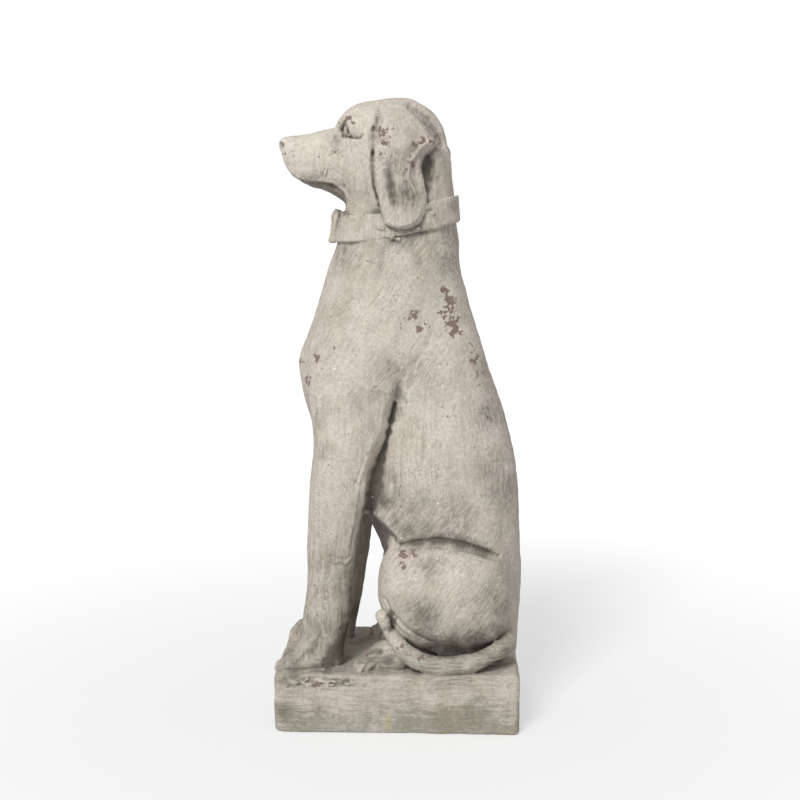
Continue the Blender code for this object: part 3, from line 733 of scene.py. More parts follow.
def elbow():
    return ball((10.4, -5.6, 32.0), (1.5, 1.3, 3.0), tilt=-20)


def throat_cord():
    """The long muscle from behind the jaw down to the breast."""
    return limb([
        (6.6, -3.4, 75.0, 1.2), (6.6, -7.0, 67.5, 1.5), (5.0, -11.4, 60.0, 1.6), (3.0, -14.6, 54.0, 1.2),
    ])


def model_body(clay):
    clay.add(trunk())
    clay.cut(on_both_sides(belly_face()), 0.5)
    clay.add(on_both_sides(throat_cord()), 3.0)
    clay.add(on_both_sides(shoulder()), 4.0)
    clay.cut(on_both_sides(loin_hollow()), 3.0)
    for side, back, reach in ((1, 0.0, 0.0), (-1, FAR_LEG_SET_BACK, 1.2)):
        clay.add(moved(foreleg(reach), side, back), 2.8)
        clay.add(moved(elbow(), side, back), 1.8)
        clay.add(moved(wrist_bone(), side, back), 1.2)
        clay.add(moved(tendon(), side, back), 0.9)
        clay.cut(moved(armpit(), side, back), 1.2)
    clay.add(on_both_sides(haunch()), 2.2)
    clay.cut(on_both_sides(flank_fold()), 1.0)
    clay.add(on_both_sides(shin()), 1.6)


def model_feet(clay):
    rounding = TOE_GROOVE / SHARE
    clay.add(ball((8.0, -16.2, 0.5), (3.9, 5.6, 2.2), tilt=16), 1.6)
    for toe in toes(8.0, 1.8, (-18.7, 0.7), (-21.3, -0.8), 1.05):
        clay.add(toe, rounding)
    clay.add(ball((-8.0, -14.9, 1.0), (3.7, 4.9, 2.5), tilt=10), 1.4)
    for toe in toes(-8.0, -1.8, (-18.3, 2.0), (-20.3, 0.2), 1.2):
        clay.add(toe, rounding)
    for side, reach in ((1, 0.0), (-1, FAR_HIND_FOOT_SET_BACK)):
        clay.add(ball((side * 10.2, -1.9 + reach, 1.5), (3.2, 5.0, 3.3), tilt=20), 0.8)
        for toe in toes(side * 10.2, side * 1.6, (-4.4 + reach, 2.3), (-6.9 + reach, 0.5), 1.15):
            clay.add(toe, rounding)


def model_head(clay):
    clay.add(skull(), 2.0)
    clay.add(on_both_sides(cheek()), 2.4)
    clay.add(lower_jaw(), 1.0)
    clay.add(muzzle(), 0.2)
    clay.add(nose(), 0.7)
    clay.add(ball((0, 8.4, 90.5), (1.0, 0.7, 0.9)), 0.6)
    clay.add(on_both_sides(brow()), 0.9)
    clay.add(on_both_sides(eyelid()), 0.5)
    clay.cut(on_both_sides(eye_corner()), 0.35)
    clay.add(on_both_sides(ball((4.2, -9.15, 93.8), (0.7, 0.4, 0.55))), 0.15)
    clay.cut(on_both_sides(ball((1.1, -20.85, 91.7), (0.5, 0.45, 0.7), tilt=15)), 0.2)
    clay.add(on_both_sides(ear()), 0.7)
    clay.cut(on_both_sides(behind_ear()), 0.35)


def model_collar(clay):
    clay.add(collar(), 0.15)
    clay.add(buckle_backing(), 0.3)
    clay.add(buckle(), 0.15)
    clay.add(buckle_tongue(), 0.1)
    clay.add(on_both_sides(ear()), 0.2)
    clay.cut(on_both_sides(ear_hollow()), 1.0)


# Lines of the head: width, depth and the line's points, as (y, z). One with a depth below zero stands proud.
HEAD_LINES = (
    # before the ear, down the cheek
    (0.3, 0.36, (-3.4, 97.5), (-3.6, 96.3), (-3.8, 95.3), (-4.3, 94.2)),
    (0.42, 0.4, (-4.2, 94.5), (-4.6, 93.0), (-4.6, 91.5), (-4.3, 90.0)),
    (0.26, 0.44, (-4.3, 90.2), (-4.6, 88.8), (-4.5, 87.2), (-4.3, 85.6), (-4.2, 84.6), (-3.6, 83.0),
     (-3.2, 81.2)),
    # down the ear: two long hollows, the ridge between them, and the rolled rear rim
    (0.6, 0.22, (-1.1, 96.6), (-1.2, 93.9), (-1.7, 91.4)),
    (0.8, 0.6, (-2.2, 91.0), (-1.7, 88.0), (-1.4, 85.5), (-1.1, 83.0), (-0.2, 80.6)),
    (0.8, -0.24, (1.3, 97.0), (2.3, 95.4), (2.5, 93.0), (1.7, 90.5), (0.5, 87.5)),
    (0.35, -0.42, (5.4, 92.0), (3.8, 90.6), (2.4, 88.4), (1.9, 86.8), (2.1, 85.3), (2.9, 83.3)),
    (0.4, 0.3, (3.6, 90.0), (3.0, 88.2), (2.9, 86.4), (3.2, 84.6)),
    (0.5, 0.26, (3.0, 91.6), (1.2, 88.8), (0.8, 86.8), (1.0, 84.8), (2.0, 82.2)),
    (0.35, -0.24, (-3.7, 90.0), (-3.5, 86.0), (-3.1, 82.4), (-2.2, 79.4), (-0.8, 78.0), (1.5, 77.9),
     (3.6, 79.4), (4.5, 81.6)),
    (0.7, 0.85, (2.1, 98.2), (4.0, 96.9), (5.6, 95.3), (6.9, 93.6), (7.9, 91.8)),
    (0.22, 0.45, (1.6, 98.0), (3.0, 96.7), (4.2, 95.6), (5.0, 94.5), (5.7, 93.3)),
    (0.25, -0.16, (1.3, 97.6), (2.7, 96.3), (3.8, 95.2), (4.6, 94.1), (5.3, 93.0)),
    (0.22, 0.34, (1.5, 87.1), (1.6, 85.4), (2.5, 83.8), (2.9, 82.4), (2.8, 81.1)),
    (0.25, -0.2, (2.0, 87.0), (2.1, 85.3), (3.0, 83.7), (3.4, 82.3)),
    (0.22, 0.3, (-4.3, 90.8), (-4.35, 88.6), (-4.3, 86.5), (-4.1, 84.7), (-3.6, 82.6)),
    (0.45, 0.6, (6.9, 91.6), (5.9, 90.7), (5.0, 89.6)),
    # the eye
    (0.2, 0.42, (-9.2, 95.7), (-9.5, 95.2), (-9.8, 94.4), (-9.7, 93.2)),
    (0.26, 0.2, (-9.5, 95.0), (-9.7, 94.3)),
    (0.18, 0.4, (-9.2, 95.0), (-8.8, 94.2), (-8.5, 93.5), (-8.1, 92.9)),
    (0.22, 0.36, (-9.6, 93.15), (-8.9, 93.0), (-8.2, 92.95)),
    (0.2, 0.46, (-8.3, 92.95), (-7.6, 92.8), (-7.0, 92.7), (-6.4, 92.85), (-6.05, 93.3)),
    (0.34, 0.18, (-10.9, 93.0), (-10.3, 93.6), (-9.95, 94.3)),
    (0.4, -0.1, (-9.2, 92.3), (-7.6, 92.1), (-6.0, 92.2)),
    (0.7, 0.16, (-11.4, 92.7), (-10.3, 93.3)),
    # the brow's crease
    (0.3, 0.12, (-9.6, 95.6), (-8.7, 96.6), (-7.4, 97.0)),
    # the lips, the front edge of the muzzle, and the fold below the lip
    (0.22, 0.12, (-20.7, 91.4), (-20.3, 90.3), (-19.8, 89.1), (-19.1, 88.0), (-18.2, 87.0)),
    (0.22, 0.1, (-19.6, 89.4), (-18.9, 88.4), (-17.7, 87.95), (-15.4, 87.75)),
    (0.2, -0.22, (-17.9, 86.3), (-16.5, 85.8), (-14.5, 85.6), (-12.9, 85.45), (-11.7, 85.25), (-11.1, 84.9),
     (-10.5, 84.4), (-9.7, 83.8), (-9.1, 82.6)),
    (0.24, 0.44, (-17.2, 85.5), (-15.0, 85.0), (-12.8, 84.9), (-11.4, 84.5), (-10.5, 83.7)),
    # short strokes on the cheek and by the mouth
    (0.18, 0.3, (-12.0, 89.7), (-11.2, 90.3), (-10.4, 90.7)),
    (0.18, 0.3, (-11.3, 90.6), (-10.5, 90.0), (-9.6, 89.5)),
    (0.16, 0.26, (-10.4, 90.1), (-9.5, 90.5)),
    (0.18, 0.32, (-13.3, 86.3), (-12.9, 87.5)),
    (0.18, 0.32, (-12.6, 86.3), (-12.3, 87.5)),
    (0.14, -0.16, (-13.0, 86.3), (-12.6, 87.5)),
    (0.2, 0.26, (-11.2, 87.4), (-10.4, 86.7), (-9.8, 85.7), (-9.4, 84.6)),
    (0.2, 0.22, (-10.6, 88.0), (-9.8, 87.2), (-9.2, 86.0), (-8.8, 84.8)),
    (0.16, -0.16, (-10.2, 86.2), (-9.9, 85.2), (-9.7, 84.2)),
    (0.3, 0.12, (-5.8, 82.8), (-4.9, 83.4)),
)
# Pits along the ear's fold.
EAR_PITS = (
    (6.9, 91.9), (6.3, 92.6), (5.6, 92.0), (5.2, 92.7), (4.5, 92.4), (4.1, 91.6), (3.5, 91.5), (3.1, 90.5),
    (2.6, 90.2), (2.2, 89.3), (2.6, 88.8), (1.8, 88.4), (2.2, 87.5), (1.6, 87.2), (7.2, 91.1), (6.6, 93.1),
)
# Lines of the body. After the depth comes how far out from the middle each one starts.
BODY_LINES = (
    # muscle and bone
    (1.0, 0.14, 2.0, (-8.4, 74.0), (-10.2, 68.0), (-12.4, 62.0)),
    (0.35, 0.22, 2.0, (-9.4, 74.0), (-9.7, 71.6), (-10.4, 68.8)),
    (0.9, 0.24, 3.0, (-2.0, 74.4), (-2.6, 71.0), (-3.4, 67.6), (-4.6, 64.4)),
    (0.7, 0.22, 5.0, (5.3, 57.6), (3.3, 55.0), (1.3, 52.6), (-0.2, 50.0)),
    (1.3, 0.16, 3.0, (3.0, 72.5), (0.0, 66.0), (-2.6, 60.5)),
    (1.2, 0.14, 5.0, (-12.6, 47.5), (-9.0, 44.0), (-5.0, 46.5), (-2.2, 50.5)),
    (0.45, -0.08, 6.0, (2.3, 49.5), (2.1, 42.0), (2.3, 34.0), (2.8, 26.5)),
    (0.6, 0.07, 6.0, (0.8, 48.0), (0.9, 40.0), (1.1, 32.0)),
    # the flank's lower edge over the thigh
    (0.42, 0.55, 7.0, (0.6, 22.2), (2.4, 22.7), (4.6, 23.1), (8.0, 23.3), (11.8, 22.5), (15.6, 21.0),
     (17.6, 20.0)),
    (1.2, -0.36, 7.0, (2.6, 26.0), (6.0, 26.4), (10.0, 26.0), (14.0, 24.8)),
    (0.6, 0.16, 7.0, (17.0, 21.0), (18.2, 19.6), (18.6, 18.0)),
    # the front of the knee, and the band under it
    (0.3, 0.36, 7.0, (-2.1, 12.8), (-0.7, 10.5), (1.3, 8.4), (3.8, 6.5), (6.0, 5.4)),
    (0.18, 0.2, 7.0, (-2.4, 11.9), (-1.2, 9.7), (0.6, 7.5), (2.6, 5.9)),
    # the hip and the back edge
    (1.0, 0.16, 7.0, (15.8, 20.5), (17.2, 17.0), (17.8, 12.0), (17.4, 7.6)),
)
# Lines of the foreleg.
FORELEG_LINES = (
    # the armpit, a pit that narrows to a deep crease down to the elbow
    (0.95, 0.6, (0.4, 50.2), (-0.1, 48.4), (-0.7, 46.6), (-1.1, 44.6)),
    (0.38, 0.95, (-0.5, 47.2), (-1.0, 44.6), (-1.5, 42.2), (-2.2, 39.6), (-3.0, 37.1)),
    (0.6, 1.5, (-2.6, 38.4), (-3.2, 36.2), (-3.7, 34.2), (-4.1, 32.2), (-4.5, 30.4), (-4.8, 28.6),
     (-4.6, 26.9)),
    (1.1, 0.42, (0.4, 46.0), (-0.4, 42.0), (-1.6, 38.0), (-2.5, 34.6), (-3.1, 31.6), (-3.5, 29.2)),
    # the cord along the elbow and down the back of the leg
    (0.42, -0.32, (-3.9, 41.6), (-4.6, 39.6), (-5.7, 36.6), (-6.5, 33.8)),
    (0.28, -0.22, (-6.6, 33.4), (-7.2, 29.5), (-7.7, 26.0), (-8.3, 23.4), (-8.7, 21.2)),
    (0.22, 0.24, (-5.2, 38.6), (-6.0, 36.4), (-6.9, 34.2), (-7.4, 33.2)),
    (0.2, 0.2, (-7.85, 35.9), (-7.3, 34.2), (-6.8, 33.2)),
    (0.22, 0.2, (-7.4, 25.4), (-7.9, 23.6), (-8.2, 21.6)),
    # the wrist
    (0.45, 0.12, (-13.9, 11.4), (-12.0, 12.8), (-10.0, 11.8), (-9.5, 8.4), (-11.0, 5.2), (-13.2, 5.4)),
    (0.42, -0.45, (-15.1, 9.5), (-14.5, 7.3), (-14.7, 5.4), (-16.6, 3.0), (-18.2, 1.3)),
    (0.38, 0.26, (-14.1, 9.2), (-13.5, 6.8), (-13.8, 4.6), (-15.6, 2.3)),
    (0.35, 0.18, (-15.9, 8.6), (-15.4, 6.6), (-15.9, 4.4)),
    (0.2, -0.22, (-11.8, 19.7), (-10.9, 19.3), (-9.9, 19.3), (-9.0, 18.9), (-8.3, 19.5)),
    (0.2, 0.18, (-11.4, 20.3), (-10.2, 19.95), (-9.0, 19.6), (-8.3, 20.2)),
    (0.2, 0.16, (-11.2, 18.7), (-9.8, 18.5), (-8.6, 18.2)),
    (0.25, 0.16, (-10.9, 14.6), (-10.5, 13.6)),
    (0.3, 0.12, (-12.9, 40.2), (-12.4, 38.2), (-12.6, 37.0)),
)
# Lines of the hind foot.
HIND_FOOT_LINES = (
    (0.3, 0.42, (-2.7, 3.4), (-3.9, 2.6), (-5.0, 1.6), (-5.9, 0.2)),
    (0.25, 0.34, (-4.3, 4.3), (-6.0, 3.0), (-7.1, 1.4)),
    (0.2, 0.2, (-3.4, 1.4), (-4.2, 0.6)),
)
# Scratches and dents in the left side.
DENTS = (
    (0.14, 0.1, (8.6, 49.6), (9.6, 47.8), (10.3, 45.4), (10.5, 43.0), (10.3, 42.0)),
    (0.13, 0.09, (9.2, 42.2), (10.4, 42.3), (11.8, 42.2)),
    (0.14, 0.07, (0.3, 47.2), (3.0, 47.6), (6.0, 47.7), (8.6, 48.6)),
    (0.2, 0.14, (5.3, 51.0), (6.3, 50.7)),
    (0.25, 0.16, (16.6, 36.6), (17.6, 36.7), (18.6, 36.4)),
    (0.3, 0.14, (16.2, 35.0), (14.9, 33.8)),
    (0.2, 0.14, (7.0, 34.5), (8.0, 34.4)),
)


def score_head(clay):
    """The lines of the ears, eyes and mouth, the same on both sides."""
    for side in (1, -1):
        for width, depth, *line in HEAD_LINES:
            clay.score(line, width, depth, side=side, beyond=1.4)
        for y, z in EAR_PITS:
            clay.score([(y, z), (y + 0.1, z + 0.2)], width=0.16, depth=0.32, side=side, beyond=1.4)
        nostril = [(-20.8, 92.4), (-20.65, 91.8), (-20.45, 91.2), (-20.05, 91.7)]
        clay.score(nostril, 0.15, 0.22, side=side, beyond=1.0)
        wing = [(side * 1.6, 91.5), (side * 1.9, 90.6), (side * 1.4, 90.0)]
        clay.score(wing, 0.2, 0.2, axis=1, side=-1, beyond=18.5)
    clay.score([(0, 91.2), (0, 90.2), (0, 89.0)], 0.2, 0.2, axis=1, side=-1, beyond=18.5)


def score_body(clay):
    for side in (1, -1):
        for width, depth, beyond, *line in BODY_LINES:
            clay.score(line, width, depth, side=side, beyond=beyond)
    for lines, beyond, shifts in (
        (FORELEG_LINES, 8.0, (0.0, FAR_LEG_SET_BACK)),
        (HIND_FOOT_LINES, 6.0, (0.0, FAR_HIND_FOOT_SET_BACK)),
    ):
        for side, shift in zip((1, -1), shifts):
            for width, depth, *line in lines:
                clay.score([(y + shift, z) for y, z in line], width, depth, side=side, beyond=beyond)
    for width, depth, *line in DENTS:
        clay.score(line, width, depth, beyond=5.0)


def roughen_casting(clay):
    """The unevenness of a hand-worked casting, and the crumbs and scabs of mortar left on it."""
    clay.roughen(Swelling(3, (24, 24, 30)), 0.26)
    clay.roughen(Swelling(5, (9, 9, 12)), 0.12)
    clay.roughen(Swelling(8, (4.5, 4.5, 5.5)), 0.07)
    front_edge = limb([(14.6, -20.2, -0.7, 0.1), (14.8, -14.0, -0.7, 0.1), (14.8, -8.5, -0.7, 0.1)])
    clay.roughen(Swelling(13, (3.2, 3.2, 3.2)), 0.5, front_edge, 0.55)
    back_edge = limb([(14.8, 6.0, -0.5, 0.1), (14.8, 20.0, -0.7, 0.1)])
    clay.roughen(Swelling(17, (4, 6, 4)), 0.25, back_edge, 0.5)
    right_edge = limb([(-14.9, -20.0, -0.7, 0.1), (-14.9, 4.0, -0.6, 0.1), (-14.9, 20.0, -0.7, 0.1)])
    clay.roughen(Swelling(19, (4, 5, 4)), 0.3, right_edge, 0.5)
    ear_tips = on_both_sides(limb([(9.6, -3.0, 77.8, 0.2), (9.8, 0.0, 76.0, 0.2), (9.6, 3.2, 77.0, 0.2)]))
    clay.roughen(Swelling(23, (2.6, 2.6, 2.6)), 0.4, ear_tips, 0.6)
    paws = on_both_sides(limb([(9.5, -19.5, 0.0, 0.8), (8.0, -16.0, 0.5, 2.0)]))
    clay.roughen(Swelling(29, (4, 4, 4)), 0.16, paws, 1.2)
    for x, y, z, size in (
        (8.65, -3.2, 77.5, 0.42), (8.75, -2.6, 77.3, 0.32), (8.45, -1.0, 75.7, 0.4), (8.25, 0.1, 75.5, 0.45),
        (8.6, 2.4, 76.8, 0.36), (8.55, 3.5, 77.3, 0.4), (7.9, 5.2, 80.9, 0.4), (7.6, 6.0, 79.9, 0.38),
        (-8.65, -2.9, 77.6, 0.4), (-8.2, 0.6, 75.6, 0.42), (-8.55, 3.2, 77.1, 0.38),
    ):
        clay.add(ball((x, y, z), (size, size * 1.2, size * 0.8)), 0.3)
    pick = np.random.default_rng(31)
    crumbs = pick.uniform(-18.6, -7.6, 30), pick.normal(-1.4, 0.28, 30), pick.uniform(0.24, 0.46, 30)
    for along, drop, size in zip(*crumbs):
        clay.add(ball((14.98, along, drop), (0.22, size * 1.3, size * 0.8)), 0.08)
    for along, drop in zip(pick.uniform(-17.6, -8.4, 9), pick.normal(-1.5, 0.3, 9)):
        clay.cut(ball((15.2, along, drop), (0.5, 0.5, 0.26)), 0.1)


def model_slab(axes):
    """One slab of the block, with the whole statue's forms in it."""
    clay = Clay(axes)
    model_body(clay)
    model_head(clay)
    model_collar(clay)
    model_feet(clay)
    clay.add(tail(), 0.6)
    clay.add(plinth(), 0.5)
    clay.cut(worn_corner(), 0.7)
    score_head(clay)
    score_body(clay)
    roughen_casting(clay)
    clay.field = np.maximum(clay.field, -clay.axes[2])
    return clay.field


def model_statue():
    """The whole statue in clay, modelled slab by slab."""
    reach = np.array([PLINTH_WIDTH / 2, HALF_LENGTH * SHARE, 0]) + GRID_MARGIN
    low, high = -reach, reach + [0, 0, PLINTH_HEIGHT + FIGURE_HEIGHT]
    axes = [np.arange(a, b + GRID_STEP, GRID_STEP, dtype=np.float32) for a, b in zip(low, high)]
    slabs = [[axes[0], axes[1], part] for part in np.array_split(axes[2], SLABS)]
    with concurrent.futures.ThreadPoolExecutor(SLABS_AT_ONCE) as workers:
        fields = list(workers.map(model_slab, slabs))
    clay = Clay([axes[0], axes[1], axes[2][:1]])
    clay.axes, clay.field = axes, np.concatenate(fields, axis=2)
    clay.settle()
    return clay


def mesh_from(points, quads):
    mesh = bpy.data.meshes.new("hound_casting")
    mesh.vertices.add(len(points))
    mesh.vertices.foreach_set("co", points.astype(np.float32).ravel())
    mesh.loops.add(quads.size)
    mesh.loops.foreach_set("vertex_index", quads.astype(np.int32).ravel())
    mesh.polygons.add(len(quads))
    mesh.polygons.foreach_set("loop_start", np.arange(0, quads.size, 4, dtype=np.int32))
    mesh.update(calc_edges=True)
    return mesh


def apply_modifiers(obj):
    """The object's mesh as its modifiers leave it, with the modifiers taken off."""
    bpy.context.view_layer.update()
    finished = bpy.data.meshes.new_from_object(obj.evaluated_get(bpy.context.evaluated_depsgraph_get()))
    obj.modifiers.clear()
    old, obj.data = obj.data, finished
    bpy.data.meshes.remove(old)


def keep_one_skin(mesh):
    """Take away loose crumbs and closed bubbles, so that the mesh is one skin."""
    edges = np.empty(len(mesh.edges) * 2, np.int32)
    mesh.edges.foreach_get("vertices", edges)
    one_end, other_end = edges.reshape(-1, 2).T
    label, settled = np.arange(len(mesh.vertices)), False
    while not settled:
        lower = np.minimum(label[one_end], label[other_end])
        joined = label.copy()
        np.minimum.at(joined, one_end, lower)
        np.minimum.at(joined, other_end, lower)
        joined = joined[joined]
        label, settled = joined, np.array_equal(joined, label)
    loose = label != np.bincount(label).argmax()
    skin = bmesh.new()
    skin.from_mesh(mesh)
    bmesh.ops.delete(skin, geom=[point for point, gone in zip(skin.verts, loose) if gone], context="VERTS")
    skin.to_mesh(mesh)
    skin.free()


def rows_of(values, name):
    """A mesh's points or normals, as rows of three numbers."""
    rows = np.empty(len(values) * 3, np.float32)
    values.foreach_get(name, rows)
    return rows.reshape(-1, 3)


def step_between(value, start, end):
    t = np.clip((value - start) / (end - start), 0, 1)
    return t * t * (3 - 2 * t)


def all_steps(*steps):
    """One where every step has been taken. Each is a value, with where its step starts and ends."""
    return math.prod(step_between(*step) for step in steps)


def spots(points, places, side):
    """Soft patches on one side of the statue. Each place is y, z, radius and strength, in shares."""
    y, z = points[:, 1] / SHARE, (points[:, 2] - PLINTH_HEIGHT) / SHARE
    value = np.zeros(len(points), np.float32)
    for at_y, at_z, radius, strength in places:
        gap = ((y - at_y) ** 2 + (z - at_z) ** 2) / (1.4 * radius) ** 2
        value = np.maximum(value, strength * np.exp(-gap))
    return value * step_between(side * points[:, 0], 0.0, 0.015)


# Patches on the left and the right, each y, z, radius and strength: where the wash has come off.
LEFT_CHIPS = (
    (-8.6, 96.2, 0.55, 1.0), (-7.9, 95.4, 0.3, 1.0), (-2.9, 93.6, 1.1, 0.85), (-2.0, 92.0, 1.0, 0.8),
    (-3.0, 89.8, 0.6, 0.7), (-4.1, 88.6, 0.5, 0.75), (3.3, 91.4, 0.6, 1.0), (4.6, 92.3, 0.7, 0.8),
    (5.9, 92.3, 0.8, 0.8), (2.4, 88.2, 0.6, 0.9), (2.5, 86.6, 0.4, 0.8), (2.1, 62.0, 0.9, 0.95),
    (3.8, 60.4, 0.8, 1.0), (3.4, 62.6, 0.6, 0.8), (5.9, 60.4, 0.6, 0.75), (8.3, 66.6, 0.9, 0.85),
    (8.2, 62.8, 1.0, 0.95), (9.4, 61.4, 1.2, 1.0), (10.1, 59.6, 1.1, 0.9), (9.0, 65.0, 1.3, 0.8),
    (12.6, 56.9, 0.8, 0.8), (13.5, 54.2, 1.0, 0.85), (14.4, 51.6, 0.9, 0.75), (14.0, 49.4, 0.8, 0.7),
    (15.0, 46.2, 0.8, 0.7), (15.5, 44.4, 0.6, 0.75), (-14.2, 54.8, 0.7, 1.0), (-10.9, 56.7, 0.5, 0.9),
    (-10.9, 54.8, 0.45, 0.8), (-12.8, 53.4, 0.5, 0.75), (-15.8, 50.9, 0.9, 0.8), (-13.8, 65.0, 0.8, 0.7),
    (-17.4, 54.0, 0.8, 0.8), (1.2, 21.0, 0.9, 0.95), (2.7, 21.0, 0.8, 0.85), (1.2, 19.4, 0.7, 0.85),
    (5.9, 20.8, 0.7, 0.75), (5.2, 18.8, 0.5, 0.85), (-18.7, -1.9, 0.5, 0.5), (-14.3, -1.7, 0.9, 0.75),
    (-11.2, -1.6, 0.6, 0.6), (-16.6, -2.2, 0.6, 0.6), (-9.6, -3.4, 0.35, 0.8), (1.0, 4.4, 0.8, 0.65),
    (4.4, 3.0, 0.8, 0.7), (-2.6, 0.9, 0.9, 0.7), (-5.0, 2.6, 0.9, 0.7), (-20.4, 90.4, 0.5, 0.75),
    (-19.4, 88.6, 0.5, 0.65),
)
RIGHT_CHIPS = (
    (-8.0, 96.6, 0.6, 0.9), (-3.2, 92.8, 1.0, 0.8), (4.6, 92.3, 0.9, 0.9), (2.0, 87.2, 0.8, 0.8),
    (5.0, 64.0, 1.3, 0.9), (8.6, 60.8, 1.2, 0.9), (1.5, 59.0, 0.9, 0.85), (11.6, 57.6, 0.9, 0.8),
    (14.2, 52.0, 1.2, 0.85), (15.0, 47.0, 0.9, 0.7), (-13.0, 56.0, 1.0, 0.9), (-15.4, 51.5, 0.8, 0.85),
    (-13.6, 38.0, 0.8, 0.8), (3.4, 21.4, 1.3, 0.9), (8.0, 20.4, 0.8, 0.8), (14.0, 17.5, 1.0, 0.8),
    (-18.0, -1.8, 1.0, 0.8), (-4.0, -1.6, 1.0, 0.75), (10.0, -1.7, 1.2, 0.8), (19.6, -1.8, 1.0, 0.8),
    (-12.0, -8.5, 0.8, 0.75), (17.0, -8.0, 0.9, 0.8),
)
# Where the wash lies thick and pale; down the far foreleg the same pale colour is painted light.
LEFT_THICK = (
    (-16.0, 90.0, 4.2, 0.9), (-20.0, 91.6, 2.4, 1.0), (-12.6, 92.6, 2.0, 0.6), (-6.6, 95.0, 2.2, 0.9),
    (-6.6, 97.4, 2.0, 0.6), (-2.6, 60.0, 4.0, 0.5), (5.4, 57.6, 4.4, 0.7), (5.4, 42.4, 4.6, 0.5),
    (-10.6, 42.6, 3.0, 0.6), (-9.4, 54.0, 3.6, 0.3), (7.6, 14.6, 3.4, 0.5), (4.0, 78.6, 2.0, 0.3),
    (-3.6, 68.8, 3.0, 0.2), (-1.6, 15.8, 1.6, 0.3), (13.6, -2.4, 2.6, 0.3),
)
RIGHT_THICK_AND_LIT = (
    (-16.0, 90.0, 4.2, 0.9), (-6.6, 96.0, 2.4, 0.8), (-2.0, 60.0, 4.6, 0.6), (6.0, 44.0, 5.0, 0.5),
    # The last four spots, from (-6.6, 20.0) on, lie down the far foreleg: painted light lifting its shade.
    (-10.6, 42.0, 3.4, 0.5), (6.0, 15.0, 4.4, 0.5), (12.0, 30.0, 4.0, 0.4), (-6.6, 20.0, 1.8, 0.9),
    (-7.0, 15.6, 2.0, 1.0), (-7.6, 10.6, 2.0, 1.0), (-8.4, 5.6, 1.8, 0.9),
)
